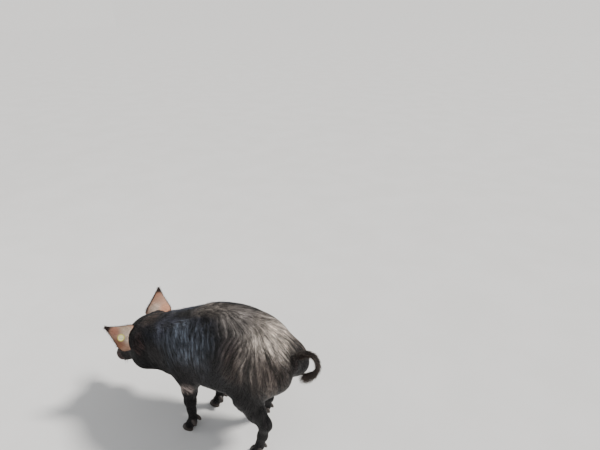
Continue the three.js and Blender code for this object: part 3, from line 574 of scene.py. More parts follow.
def neighbours(faces):
    """Both ends of every edge, each way round, once."""
    pairs = np.concatenate([faces[:, [0, 1]], faces[:, [1, 2]], faces[:, [2, 0]]])
    pairs = np.unique(np.sort(pairs, axis=1), axis=0)
    return np.concatenate([pairs, pairs[:, ::-1]])


def averaged(points, pairs):
    """The mean of each point's neighbours."""
    degree = np.maximum(np.bincount(pairs[:, 0], minlength=len(points)), 1)
    sums = [np.bincount(pairs[:, 0], points[pairs[:, 1], k], len(points)) for k in range(points.shape[1])]
    return np.stack(sums, 1) / degree[:, None]


def point_normals(points, faces):
    """The smooth normals of a mesh of triangles."""
    a, b, c = (points[faces[:, n]] for n in range(3))
    n = np.cross(b - a, c - a)
    sums = [np.bincount(faces.ravel(), np.repeat(n[:, k], 3), len(points)) for k in range(3)]
    return unit(np.stack(sums, 1))


def refined(points, faces, target):
    """The mesh with each edge split that is longer than the target says at its middle."""
    edges = np.sort(np.concatenate([faces[:, [0, 1]], faces[:, [1, 2]], faces[:, [2, 0]]]), axis=1)
    edges, which = np.unique(edges, axis=0, return_inverse=True)
    a, b = points[edges[:, 0]], points[edges[:, 1]]
    middle = (a + b) / 2
    cut = np.linalg.norm(a - b, axis=1) > target(middle)
    number = np.full(len(edges), -1)
    number[cut] = len(points) + np.arange(cut.sum())
    points = np.concatenate([points, middle[cut]])
    # each face is split by which of its three edges are cut: one pattern of flags at a time
    mid = number[which.reshape(-1)].reshape(3, -1).T
    made = []
    for pattern in range(8):
        flags = [(pattern >> k & 1) == 1 for k in range(3)]
        rows = np.all((mid >= 0) == np.array(flags), axis=1)
        if not rows.any():
            continue
        turn = 0
        if sum(flags) == 1:
            turn = flags.index(True)
        elif sum(flags) == 2:
            turn = (flags.index(False) + 1) % 3
        f, m = np.roll(faces[rows], -turn, axis=1), np.roll(mid[rows], -turn, axis=1)
        (a, b, c), (ab, bc, ca) = f.T, m.T
        if sum(flags) == 0:
            made.append(f)
        elif sum(flags) == 1:
            made += [np.stack(x, 1) for x in ((a, ab, c), (ab, b, c))]
        elif sum(flags) == 2:
            made += [np.stack(x, 1) for x in ((ab, b, bc), (a, ab, bc), (a, bc, c))]
        else:
            made += [np.stack(x, 1) for x in ((a, ab, ca), (ab, b, bc), (ca, bc, c), (ab, bc, ca))]
    return points, np.concatenate(made)


# ---------------------------------------------------------------- the skin's own field

LID_RADIUS = EYE["radius"] + EYE["lid"] - 0.3
eye_balls = [ellipsoid(eye_centre(side), [LID_RADIUS] * 3) for side in (LEFT, RIGHT)]


def belly_height(x, y):
    """The height of the belly's surface, found by halving."""
    low, high = np.full(len(x), 150.0), np.full(len(x), 330.0)
    for _ in range(14):
        middle = (low + high) / 2
        inside = body_field(np.stack([x, y, middle], 1)) < 0
        high, low = np.where(inside, middle, high), np.where(inside, low, middle)
    return high


teat_x = np.repeat(TEATS["first"] + TEATS["step"] * np.arange(TEATS["pairs"]), 2).astype(float)
teat_y = np.tile([-TEATS["side"], TEATS["side"]], TEATS["pairs"]).astype(float)
teats = np.stack([teat_x, teat_y, belly_height(teat_x, teat_y)], 1)
teat_fields = [
    limb([[x, y, z + 8, 5.2], [x, y, z - 2, 4.2], [x, y, z - 6.4, 2.6]], 1, 2)
    for x, y, z in teats
]


def near_foot(p, foot, along, across):
    """Which points are above a foot, within a distance along X and across."""
    return (np.abs(p[:, 0] - foot[0]) < along) & (np.abs(p[:, 1] - foot[1]) < across)


def coronet_level(foot):
    """The height of the hoof's sloping upper edge, drawn on to x = 0."""
    return CORONET["front"] + (foot[0] - CORONET["toe"]) * CORONET["slope"]


def coat_depth(p):
    """How far the skin lies inside the solids: most on the body, least on the nose."""
    s = head_axes.local(p)[:, 0]
    face = smoothstep(-30, 90, s)
    foot = smoothstep(230, 120, p[:, 2])
    nose = smoothstep(196, 226, s)
    deep = 2.2 - 1.3 * np.maximum(face, foot)
    return deep - 0.8 * nose * face


def skin_field(p):
    """The skin without its fine folds: the flesh with eyeballs, teats and a cut along each coronet."""
    d = body_field(p) + coat_depth(p)
    for side, ball in zip((LEFT, RIGHT), eye_balls):
        c = eye_centre(side)
        d = joined(d, p, ball, 5, c - 40, c + 40)
    for c, teat in zip(teats, teat_fields):
        d = joined(d, p, teat, 4, c - 16, c + 16)
    slope = CORONET["slope"]
    for leg in LEGS.values():
        foot = foot_of(leg)
        near = near_foot(p, foot, 80, 50) & (p[:, 2] < 80)
        level = coronet_level(foot) + 0.3
        below = (level - p[near, 2] - slope * p[near, 0]) / math.hypot(slope, 1)
        d[near] = np.maximum(d[near], below)
    return d


def gradient(field, p):
    """The field's slope at each point, from four places round it."""
    step = 0.4
    corners = np.array([[1, -1, -1], [-1, 1, -1], [-1, -1, 1], [1, 1, 1]], float)
    total = np.zeros_like(p)
    for corner in corners:
        total += corner * field(p + corner * step)[:, None]
    return total / (4 * step)


def settled(field, p, rounds):
    """The points moved onto the surface of a field, in careful steps."""
    for _ in range(rounds):
        g = gradient(field, p)
        step = field(p) / np.maximum((g * g).sum(1), 0.15)
        p = p - np.clip(step, -6, 6)[:, None] * g
    return p


def surface_net(field, low, high, cell):
    """A closed mesh of the surface where the field is zero, with one point in each cell that it crosses."""
    low, high = np.array(low, float), np.array(high, float)
    counts = np.ceil((high - low) / cell).astype(int) + 1
    axes = [low[k] + cell * np.arange(counts[k]) for k in range(3)]
    grid = np.stack(np.meshgrid(*axes, indexing="ij"), -1)
    # a coarse look first, and the true distance only near the surface
    skip = 4
    coarse = grid[::skip, ::skip, ::skip]
    rough = field(coarse.reshape(-1, 3)).reshape(coarse.shape[:3])
    for k in range(3):
        rough = np.repeat(rough, skip, k)
    values = rough[: counts[0], : counts[1], : counts[2]].copy()
    close = np.abs(values) < 2.6 * skip * cell
    values[close] = field(grid[close])
    sign = values < 0
    corner = [(n & 1, n >> 1 & 1, n >> 2 & 1) for n in range(8)]
    size = counts - 1

    def shifted(array, c):
        return array[c[0]:c[0] + size[0], c[1]:c[1] + size[1], c[2]:c[2] + size[2]]

    total = sum(shifted(sign, c).astype(int) for c in corner)
    active = (total > 0) & (total < 8)
    index = np.full(size, -1)
    index[active] = np.arange(active.sum())
    cells = np.argwhere(active)
    value = [shifted(values, c)[active] for c in corner]
    points, hits = np.zeros((len(cells), 3)), np.zeros(len(cells))
    for a in range(8):
        for b in range(a + 1, 8):
            if sum(x != y for x, y in zip(corner[a], corner[b])) != 1:
                continue
            cross = (value[a] < 0) != (value[b] < 0)
            t = value[a] / np.where(cross, value[a] - value[b], 1)
            place = np.array(corner[a]) + t[:, None] * (np.array(corner[b]) - np.array(corner[a]))
            points += np.where(cross[:, None], place, 0)
            hits += cross
    points = low + cell * (cells + points / hits[:, None])
    quads = []
    for k in range(3):
        i, j = (k + 1) % 3, (k + 2) % 3
        start, end = [slice(None)] * 3, [slice(None)] * 3
        start[k], end[k] = slice(0, -1), slice(1, None)
        change = np.argwhere(sign[tuple(start)] != sign[tuple(end)])
        change = change[(change[:, i] > 0) & (change[:, j] > 0)]
        change = change[(change[:, i] < size[i]) & (change[:, j] < size[j])]
        ring = []
        for di, dj in ((-1, -1), (0, -1), (0, 0), (-1, 0)):
            c = change.copy()
            c[:, i] += di
            c[:, j] += dj
            ring.append(index[c[:, 0], c[:, 1], c[:, 2]])
        ring = np.stack(ring, 1)
        out = sign[change[:, 0], change[:, 1], change[:, 2]]
        quads.append(np.where(out[:, None], ring, ring[:, ::-1]))
    quads = np.concatenate(quads)
    faces = np.concatenate([quads[:, [0, 1, 2]], quads[:, [0, 2, 3]]])
    return points, faces


def largest_part(points, faces):
    """The mesh without its smaller loose parts and unused points."""
    label = np.arange(len(points))
    pairs = neighbours(faces)
    while True:
        best = label.copy()
        np.minimum.at(best, pairs[:, 0], label[pairs[:, 1]])
        best = best[best]
        if (best == label).all():
            break
        label = best
    names, counts = np.unique(label[faces[:, 0]], return_counts=True)
    keep = label[faces[:, 0]] == names[counts.argmax()]
    faces = faces[keep]
    used = np.unique(faces)
    number = np.full(len(points), -1)
    number[used] = np.arange(len(used))
    return points[used], number[faces]


# ---------------------------------------------------------------- folds and creases

def bump(distance, width):
    """A soft hump, 1 at no distance and almost 0 at twice the width."""
    return np.exp(-((distance / width) ** 2))


def along_line(points_2d, line):
    """The distance of points from a line of corners in a plane, and how far along it they are, 0 to 1."""
    best, share = np.full(len(points_2d), 1e9), np.zeros(len(points_2d))
    line = np.array(line, float)
    for n in range(len(line) - 1):
        a, b = line[n], line[n + 1]
        t = np.clip((points_2d - a) @ (b - a) / ((b - a) @ (b - a)), 0, 1)
        d = np.linalg.norm(points_2d - a - t[:, None] * (b - a), axis=1)
        closer = d < best
        best, share = np.where(closer, d, best), np.where(closer, (n + t) / (len(line) - 1), share)
    return best, share


def faded(share):
    """1 along a line, running out to 0 over its ends."""
    ends = 0.18
    return smoothstep(0, ends, share) * smoothstep(1, 1 - ends, share)


# Creases of the flanks, seen from the side: their line as (x, z), depth and half width
CREASES = [
    ([(-38, 222), (-34, 250), (-24, 278), (-10, 304)], 4.2, 8),
    ([(-54, 214), (-51, 240), (-44, 264)], 1.8, 5.5),
    ([(112, 232), (118, 262), (132, 296), (156, 326)], 3.2, 10),
    ([(130, 224), (142, 252), (160, 280)], 1.2, 6),
]
# Folds round the neck: where they start along it, depth and half width
NECK_FOLDS = [(146, 1.0, 9), (178, 1.7, 9), (205, 1.3, 7), (229, 2.0, 8)]
# Wrinkles across the bridge of the snout, by their place along the head
SNOUT_WRINKLES = (168, 181, 193, 204, 214, 222)
# Furrows of the cheek: how far below the middle one they run, and their depth
CHEEK_FURROWS = ((0, 1.6), (13, 1.1), (-13, 0.9))
# Wrinkles of the legs: above the middle of the knee or hock, and above the floor
JOINT_WRINKLES = (-12, -4, 4, 13)
PASTERN_WRINKLES = (45, 52, 60, 70)


def flank_creases(p):
    """The creases behind the elbow and before the thigh, each with a soft roll beside it."""
    place = p[:, [0, 2]] + 2.5 * value_noise(p, 20, 9)[:, None]
    flank = np.abs(p[:, 1]) > 42
    for line, depth, wide in CREASES:
        off, share = along_line(place, line)
        yield np.where(flank, -depth * bump(off, wide) * faded(share), 0)
        yield np.where(flank, 0.35 * depth * bump(off - 2.2 * wide, wide) * faded(share), 0)


def neck_folds(p):
    """The folds round the neck, deepest below, with a roll on each side."""
    s, _, v = neck_axes.local(p).T
    for n, (at, depth, wide) in enumerate(NECK_FOLDS):
        off = s - at - 0.16 * (v + 60) - 7 * value_noise(p, 60, 20 + n)
        low = smoothstep(20 - 14 * n, -80, v) * (0.75 + 0.45 * value_noise(p, 48, 30 + n))
        yield -low * depth * bump(off, wide)
        yield low * 0.4 * depth * bump(np.abs(off) - 2 * wide, wide)


def head_folds(p):
    """The wrinkles across the snout, the furrows from the corner of the mouth back, and the mouth."""
    s, w, v = head_axes.local(p).T
    on_top = smoothstep(-18, 6, v) * smoothstep(40, 20, np.abs(w))
    for n, at in enumerate(SNOUT_WRINKLES):
        off = s - at - 0.12 * np.abs(w) - 1.6 * value_noise(p, 12, 40 + n)
        yield -on_top * (0.55 + 0.09 * n) * bump(off, 1.9)
    for n, (drop, depth) in enumerate(CHEEK_FURROWS):
        line = [(112, -52 - drop), (88, -44 - 1.2 * drop), (60, -30 - 1.5 * drop), (34, -12 - 1.6 * drop)]
        off, share = along_line(np.stack([s, v], 1) + 1.5 * value_noise(p, 16, 50 + n)[:, None], line)
        yield np.where(np.abs(w) > 30, -depth * bump(off, 3.2) * faded(share), 0)
    off, share = along_line(np.stack([s, v], 1), MOUTH_LINE)
    yield -3.4 * bump(off, 1.25) * smoothstep(1.0, 0.93, share)
    yield 0.7 * bump(np.abs(off) - 4.2, 2.2) * smoothstep(1.0, 0.9, share)


def detail(p):
    """How far the folds and creases of the skin stand out, or in where negative."""
    d = 0.7 * value_noise(p, 34, 3) + 0.45 * value_noise(p, 15, 5)
    body = smoothstep(60, -40, head_axes.local(p)[:, 0]) * smoothstep(120, 220, p[:, 2])
    d *= 0.25 + 0.75 * body
    for folds in (flank_creases, neck_folds, head_folds):
        for change in folds(p):
            d += change
    for side in (LEFT, RIGHT):
        d += lid_detail(p, side)
    for leg in LEGS.values():
        d += leg_detail(p, leg)
    return d


def lid_place(p, side):
    """Where points are round an eye: their distance as a share of the opening, how far up and how far out."""
    out, w, v = eye_axes(side).local(p).T
    a, b = w / EYE_OPENING["half"], v / EYE_OPENING["tall"]
    rho = np.hypot(a, b)
    return rho, b / np.maximum(rho, 1e-6), out


def lid_detail(p, side):
    """The rim of the lids, with creases over and under it."""
    rho, upward, out = lid_place(p, side)
    near = (out > -6) & (rho < 6)
    top, bottom = smoothstep(-0.1, 0.7, upward), smoothstep(0.1, -0.7, upward)
    rho = rho + 0.12 * value_noise(p, 7, 70 + side)
    d = 0.5 * bump(rho - 1.2, 0.2)
    d -= top * (1.3 * bump(rho - 1.8, 0.24) + 0.45 * bump(rho - 2.75, 0.26))
    d += top * 0.7 * bump(rho - 2.25, 0.26)
    d -= bottom * (0.8 * bump(rho - 1.85, 0.22) + 0.5 * bump(rho - 2.6, 0.24) + 0.3 * bump(rho - 3.4, 0.3))
    return np.where(near, d, 0)


def leg_detail(p, leg):
    """The wrinkles of the knee or hock and the pastern, and the hollow before the tendon."""
    foot, fore = foot_of(leg), leg["fore"]
    near = (np.abs(p[:, 0] - foot[0] - 10) < 62) & (np.abs(p[:, 1] - foot[1]) < 42) & (p[:, 2] < 215)
    z = p[:, 2] + 2.4 * value_noise(p, 14, 60)
    back = p[:, 0] - foot[0]
    bend = foot[0] + 14 - p[:, 0] if fore else back
    joint, tendon = (KNEE_Z, 16) if fore else (HOCK_Z, 34)
    d = np.zeros(len(p))
    for up in JOINT_WRINKLES:
        d -= 0.4 * bump(z - (joint + up), 2.2) * smoothstep(-8, 10, bend)
    for at in PASTERN_WRINKLES:
        d -= 0.35 * bump(z - at - 0.12 * back, 2.0)
    d -= 1.6 * (bump(back - tendon, 5) * smoothstep(62, 84, p[:, 2]) * smoothstep(150, 122, p[:, 2]))
    return np.where(near, d, 0)


def fineness(p):
    """The edge length that the skin's mesh wants at each place."""
    s, _, v = head_axes.local(p).T
    wanted = np.full(len(p), 9.6)
    wanted = np.where(s > -30, 5.4, wanted)
    wanted = np.where((s > 20) & (v > -110), np.minimum(wanted, 4.3), wanted)
    wanted = np.where(s > 150, 3.2, wanted)
    off, _ = along_line(np.stack([s, v], 1), MOUTH_LINE)
    wanted = np.minimum(wanted, 1.5 + 0.35 * np.maximum(off - 3, 0))
    for side in (LEFT, RIGHT):
        d = np.linalg.norm(p - eye_centre(side), axis=1)
        wanted = np.minimum(wanted, 1.1 + 0.12 * np.maximum(d - 15, 0))
    wanted = np.where(p[:, 2] < 190, np.minimum(wanted, 5.6), wanted)
    wanted = np.where(p[:, 2] < 84, np.minimum(wanted, 3.9), wanted)
    near_fold = np.zeros(len(p), bool)
    for line, _, wide in CREASES:
        near_fold |= along_line(p[:, [0, 2]], line)[0] < 3 * wide
    ns, _, nv = neck_axes.local(p).T
    near_fold |= (ns > 125) & (nv < 20)
    wanted = np.where(near_fold, np.minimum(wanted, 6.2), wanted)
    for teat in teats:
        d = np.linalg.norm(p - teat, axis=1)
        wanted = np.minimum(wanted, 2.4 + 0.3 * np.maximum(d - 8, 0))
    return wanted


def relaxed(points, faces, rounds):
    """Points drawn half way to the middle of their neighbours, along the surface."""
    pairs = neighbours(faces)
    for _ in range(rounds):
        shift = averaged(points, pairs) - points
        points = points + 0.5 * flattened(shift, point_normals(points, faces))
    return points


def flesh():
    """The mesh of the skin without ears, tail and nose disc."""
    points, faces = surface_net(skin_field, NET_LOW, NET_HIGH, NET_CELL)
    points, faces = largest_part(points, faces)
    points = settled(skin_field, points, 2)
    points = settled(skin_field, relaxed(points, faces, 3), 1)
    for _ in range(3):
        points, faces = refined(points, faces, fineness)
        points = settled(skin_field, relaxed(points, faces, 2), 1)
    points = settled(skin_field, relaxed(points, faces, 2), 2)
    n = point_normals(points, faces)
    above_coronet = smoothstep(24, 34, points[:, 2])
    points = points + (detail(points) * above_coronet)[:, None] * n
    return points, faces


# ---------------------------------------------------------------- ears, tail, nose disc

def ear_axes(side):
    lie = EAR_LIE[side]
    return Axes(lie["root"], lie["tip"], lie["back"])


def ear_shape(side, share, around, inner, thin=0.45):
    """Places on an ear in its axes, from shares of its length and places around it from -1 to 1."""
    half, curl, thick, hollow = sections(EAR_ROWS, np.atleast_1d(share))
    a = np.radians(curl)
    r = half / np.sin(a)
    level = (r + r * np.cos(a)) / 2
    phi = around * a
    wall = thick * np.sqrt(1 - 0.75 * around**2)
    close = np.sqrt(np.clip(1 - (np.maximum(np.abs(around) - 0.93, 0) / 0.07) ** 2, 0, 1))
    back = r - thin - (wall / 2 - thin) * (1 - close)
    front = back - (wall - 2 * thin) * close
    radius = np.where(inner, front, back)
    w, n = radius * np.sin(phi), radius * np.cos(phi) - level
    chord = r * np.cos(a) - level
    hollow = np.clip(hollow, 0, 1)
    floor = (chord - 1) + (n - chord + 1) * hollow
    n = np.where(inner, np.minimum(n, floor), n)
    ridges = 0.9 * np.cos(around * 11) * smoothstep(0.2, 0.4, share) * smoothstep(0.95, 0.5, share)
    n = n + np.where(inner, ridges * (1 - np.abs(around)) * close, 0)
    n = n + 1.6 * np.sin(share * 8.5 + side) * np.abs(around) ** 3 * smoothstep(0.1, 0.4, share)
    far = share * np.abs(share)
    lie = EAR_LIE[side]
    return share * lie["length"], w + lie["sweep"] * far, n - 16 * far


EAR_STEPS, EAR_RINGS = 40, 54


def ear_mesh(side):
    """An ear as one closed body; the left one lies flat under its tag."""
    axes, tag = ear_axes(side), tag_axes()
    rings = []
    around = -np.cos(np.pi * np.arange(EAR_STEPS + 1) / EAR_STEPS)
    for share in np.linspace(-0.12, 1, EAR_RINGS):
        shares = np.full(len(around), share)
        back = np.stack(ear_shape(side, shares, around, False), 1)
        front = np.stack(ear_shape(side, shares, around, True), 1)[::-1][1:-1]
        ring = np.concatenate([back, front])
        if share > 0.97:
            # the tip stays a little fuller, so that it ends round
            middle = ring[:, 1:].mean(0)
            fuller = 1.35 - 0.35 * (share - 0.97) / 0.03
            ring[:, 1:] = middle + (ring[:, 1:] - middle) * fuller
        ring = axes.world(*ring.T)
        if side == LEFT:
            out, w, v = tag.local(ring[: EAR_STEPS + 1]).T
            room = -1.0 + 0.5 * np.maximum(np.hypot(w, v) - TAG["radius"] - 1, 0)
            press = np.minimum(room - out, 0)
            press = np.concatenate([press, press[::-1][1:-1]])
            ring = ring + press[:, None] * tag.along
        rings.append(ring)
    return stack(rings)


def curve_points(path, count):
    """Points evenly set along a smooth curve through the path, with all the path's values."""
    path = np.array(path, float)
    at = np.concatenate([[0], np.cumsum(np.linalg.norm(np.diff(path[:, :3], axis=0), axis=1))])
    rows = [[a, *row] for a, row in zip(at, path)]
    return sections(rows, np.linspace(0, at[-1], count)).T


def tube(path, sides, count, shape):
    """A round body along a smooth curve, its rings turned with it and sized by a shape."""
    line = curve_points(path, count)
    centre, radius = line[:, :3], line[:, 3]
    along = unit(np.gradient(centre, axis=0))
    side = unit(np.cross(along[0], (0, 1, 0.001)))
    rings = []
    t = circle(sides)
    for n in range(count):
        side = unit(side - along[n] * (side @ along[n]))
        up = np.cross(along[n], side)
        size = radius[n] * shape(n / (count - 1), t)
        rings.append(centre[n] + (np.cos(t) * size)[:, None] * side + (np.sin(t) * size)[:, None] * up)
    return stack(rings)


def tail_mesh():
    """The tail's skin, under its hair, with faint rings and ribs."""
    thin = [[x, y, z, max(r - 1.2, 1.0)] for x, y, z, r in TAIL]

    def rings(k, t):
        return 1 + 0.012 * math.sin(k * 120) * smoothstep(0.7, 0.4, k) + 0.02 * np.cos(3 * t + 9 * k)

    return tube(thin, 30, 120, rings)


def nostril_distance(w, v):
    """How far places on the disc are from the middle of a nostril, as a share of its size."""
    return np.hypot((w - NOSTRIL["side"]) / NOSTRIL["wide"], (v - NOSTRIL["up"]) / NOSTRIL["tall"])


def disc_mesh():
    """The disc of the snout: pitted, with a groove below and a swollen rim round each nostril."""
    t = circle(90)
    c, q = np.cos(t), np.sin(t)
    rings = []
    for s, half, tall in DISC:
        w = np.sign(c) * np.abs(c) ** 0.9 * half * (1 - 0.07 * q)
        v = DISC_UP + np.sign(q) * np.abs(q) ** 0.9 * tall
        rings.append(head_axes.world(s, w, v))
    points, faces = stack(rings)

    def wanted(p):
        s, w, v = head_axes.local(p).T
        off = nostril_distance(np.abs(w), v)
        return np.where(s > 250, 1.3 + 0.6 * np.maximum(off - 1.6, 0), 9)

    for _ in range(3):
        points, faces = refined(points, faces, wanted)
    s, w, v = head_axes.local(points).T
    face = smoothstep(250, 254, s)
    groove = bump(w, 2.2) * smoothstep(-30, -20, v) * face
    rims = sum(bump(nostril_distance(side * w, v) - 1.45, 0.3) for side in (LEFT, RIGHT))
    pits = 0.22 * value_noise(points, 3.2, 80) * face
    points = points + ((0.5 * rims - 0.8 * groove) * face + pits)[:, None] * head_axes.along
    return points, faces


def nostril_mesh(side):
    """The hole of a nostril: a comma, its outer upper part drawn out to the side."""
    t = circle(36)
    stretch = 1 + 0.25 * np.clip(np.cos(t - 0.9), 0, 1) ** 2
    sizes = [(264, 1.25), (256.5, 1.16), (254.8, 1.06), (253, 0.98), (250, 0.9), (246, 0.76)]
    rings = []
    for s, size in sizes + [(255 - NOSTRIL["deep"], 0.45)]:
        w = side * (NOSTRIL["side"] + np.cos(t) * NOSTRIL["wide"] * size * stretch)
        rings.append(head_axes.world(s, w, NOSTRIL["up"] + np.sin(t) * NOSTRIL["tall"] * size))
    return stack(rings)


def eye_opening(side):
    """The opening between the lids, wider the further out it goes."""
    axes = eye_axes(side)
    t = circle(64)
    rings = []
    for out, size in ((5.5, 0.78), (9, 0.93), (11, 1), (12.5, 1.03), (14.5, 1.1), (18, 1.3), (40, 2.2)):
        w = np.cos(t) * EYE_OPENING["half"] * size
        v = np.sign(np.sin(t)) * np.abs(np.sin(t)) ** 1.25 * EYE_OPENING["tall"] * size
        rings.append(axes.world(out, w, v))
    return stack(rings)


def ball_mesh(centre, radius):
    rings, t = 28, circle(48)
    made = []
    for n in range(1, rings):
        lat = -np.pi / 2 + np.pi * n / rings
        x, y = np.cos(t) * np.cos(lat), np.sin(t) * np.cos(lat)
        made.append(np.stack([x, y, 0 * t + np.sin(lat)], 1) * radius + centre)
    points, faces = stack(made)
    points[-2], points[-1] = centre - [0, 0, radius], centre + [0, 0, radius]
    return points, faces


def tag_axes():
    """Axes on the back of the left ear, where the tag sits: along is out of the ear."""
    axes = ear_axes(LEFT)

    def on(share, around):
        """A place on the back of the ear, where its coat ends."""
        s, w, n = ear_shape(LEFT, np.array([share]), np.array([around]), False, 0.0)
        return axes.world(s[0], w[0], n[0])

    here = on(TAG["at"], TAG["aside"])
    along = on(TAG["at"] + 0.05, TAG["aside"]) - here
    across = on(TAG["at"], TAG["aside"] + 0.05) - here
    out = np.cross(along, across)
    if out @ axes.up < 0:
        out = -out
    return Axes(here, out, along)


def lathed(axes, rows):
    """A turned body from rows of how far out and radius."""
    t = circle(64)
    return stack([axes.world(out, np.cos(t) * r, np.sin(t) * r) for out, r in rows])


def tag_hole():
    return lathed(tag_axes(), [(-9, TAG["stem"] + 0.1), (3, TAG["stem"] + 0.1)])


def tree_of(points):
    tree = KDTree(len(points))
    for n, q in enumerate(points):
        tree.insert(q, n)
    tree.balance()
    return tree


def smoothed_near(points, faces, old, reach, rounds):
    """Evens out the mesh near the lines where bodies were joined: the points that weren't there before."""
    before = tree_of(old)
    seam = points[np.array([before.find(q)[2] > 0.02 for q in points])]
    if not len(seam):
        return points
    tree = tree_of(seam)
    low, high = seam.min(0) - reach, seam.max(0) + reach
    close = np.all((points > low) & (points < high), axis=1)
    weight = np.zeros(len(points))
    weight[close] = [1 - min(tree.find(q)[2] / reach, 1) for q in points[close]]
    weight = smoothstep(0, 1, weight)[:, None]
    pairs = neighbours(faces)
    for _ in range(rounds):
        points = points + 0.6 * weight * (averaged(points, pairs) - points)
    return points


def whole_skin():
    """The flesh with its ears, tail and disc grown on, and the nostrils and eyes opened."""
    points, faces = flesh()
    left_ear = boolean(*ear_mesh(LEFT), [tag_hole()], "DIFFERENCE")
    grown = [(left_ear, 9, 14), (ear_mesh(RIGHT), 9, 14), (tail_mesh(), 8, 14), (disc_mesh(), 3.2, 6)]
    for body, reach, rounds in grown:
        old = np.concatenate([points, body[0]])
        points, faces = boolean(points, faces, [body], "UNION")
        points = smoothed_near(points, faces, old, reach, rounds)
    nostrils = [nostril_mesh(side) for side in (LEFT, RIGHT)]
    old = np.concatenate([points, nostrils[0][0], nostrils[1][0]])
    points, faces = boolean(points, faces, nostrils, "DIFFERENCE")
    points = smoothed_near(points, faces, old, 1.6, 4)
    sockets = []
    for side in (LEFT, RIGHT):
        sockets += [ball_mesh(eye_centre(side), EYE["radius"] + 0.15), eye_opening(side)]
    points, faces = boolean(points, faces, sockets, "DIFFERENCE")
    return largest_part(points, faces)


skin_points, skin_faces = whole_skin()
skin = new_object("skin", skin_points, skin_faces)


# ---------------------------------------------------------------- hoofs, eyes, tag

def claw_mesh(foot, inward):
    """A claw of horn: a flat sole, a ridged wall and a blunt toe, its top following the coronet."""
    rings = []
    half, heel = CLAW["half"], CLAW["heel"]
    slope = CORONET["slope"]
    t = circle(56)
    c = np.cos(t)
    for k in (0, 0.006, 0.05, 0.12, 0.2, 0.3, 0.4, 0.5, 0.6, 0.7, 0.8, 0.9, 0.97, 1):
        tuck = 1.1 * smoothstep(0.05, 0.0, k) + 0.5 * smoothstep(0.93, 1, k)
        front = CLAW["toe"] + (CLAW["top_front"] - CLAW["toe"]) * k + 1.2 * math.sin(math.pi * k) - tuck
        back = heel + (CLAW["top_back"] - heel) * k - tuck
        x = foot[0] + back + (-front - back) * (c + 1) / 2
        narrow = 1 - 0.3 * np.maximum(0, c) ** 2
        bend = inward * 1.5 * (1 - k) * np.maximum(0, c) ** 2
        ridge = 0.22 * np.sin(k * 34) * smoothstep(0.02, 0.15, k) * smoothstep(1, 0.9, k)
        y = foot[1] + np.sin(t) * (half - tuck + ridge) * narrow + bend
        top = CORONET["front"] - (x - (foot[0] - CORONET["toe"])) * slope - 0.2
        rings.append(np.stack([x - ridge * c, y, top * k], 1))
    return stack(rings)


def dewclaw_mesh(foot, outward):
    """A blunt dewclaw at the back of a foot, pointing down and outward."""
    path = [[foot[0] + x, foot[1] + outward * y, z, r] for x, y, z, r in DEWCLAW]
    return tube(path, 28, 26, lambda k, t: 1 + 0.02 * math.sin(k * 60))


def tag_mesh():
    """The tag in one piece: a button on the inside of the ear, a stem, and a dished disc outside."""
    r, thick, stem, button = TAG["radius"], TAG["thick"], TAG["stem"], TAG["button"]
    top = thick - 0.7
    rows = [
        (-10, 0.4), (-9.9, 0.9), (-9.2, 2.2), (-8.6, 4.4),
        (-8.4, button - 0.4), (-8.0, button), (-7.0, button), (-6.62, button - 0.4),
        (-6.6, stem + 0.8), (-6.2, stem), (-1.4, stem), (-0.9, stem + 0.8), (-0.7, stem + 1.6),
        (-0.7, r - 0.5), (-0.5, r - 0.1), (-0.2, r), (top - 0.6, r), (top - 0.2, r - 0.2), (top, r - 0.6),
        (top, r - 1.6), (top - 0.35, r - 2.0), (top - 0.4, r - 2.6),
        (top - 0.4, stem + 2.8), (top - 0.3, stem + 2.2), (top - 0.1, stem + 1.6), (top, stem + 1.1),
        (top, stem - 0.6), (top - 0.4, stem - 0.9), (top - 0.5, 0.5),
    ]
    return lathed(tag_axes(), rows)


def eye_mesh(side):
    """The eyeball, its clear front standing a little proud."""
    axes = eye_axes(side)
    t = circle(64)
    rings = []
    for n in range(1, 44):
        lat = math.pi * n / 44
        r = EYE["radius"] * (1 + 0.045 * smoothstep(0.62, 0.2, lat))
        wide = r * math.sin(lat)
        rings.append(axes.world(r * math.cos(lat), wide * np.cos(t), wide * np.sin(t)))
    return stack(rings)


# ---------------------------------------------------------------- the coat's lie and size

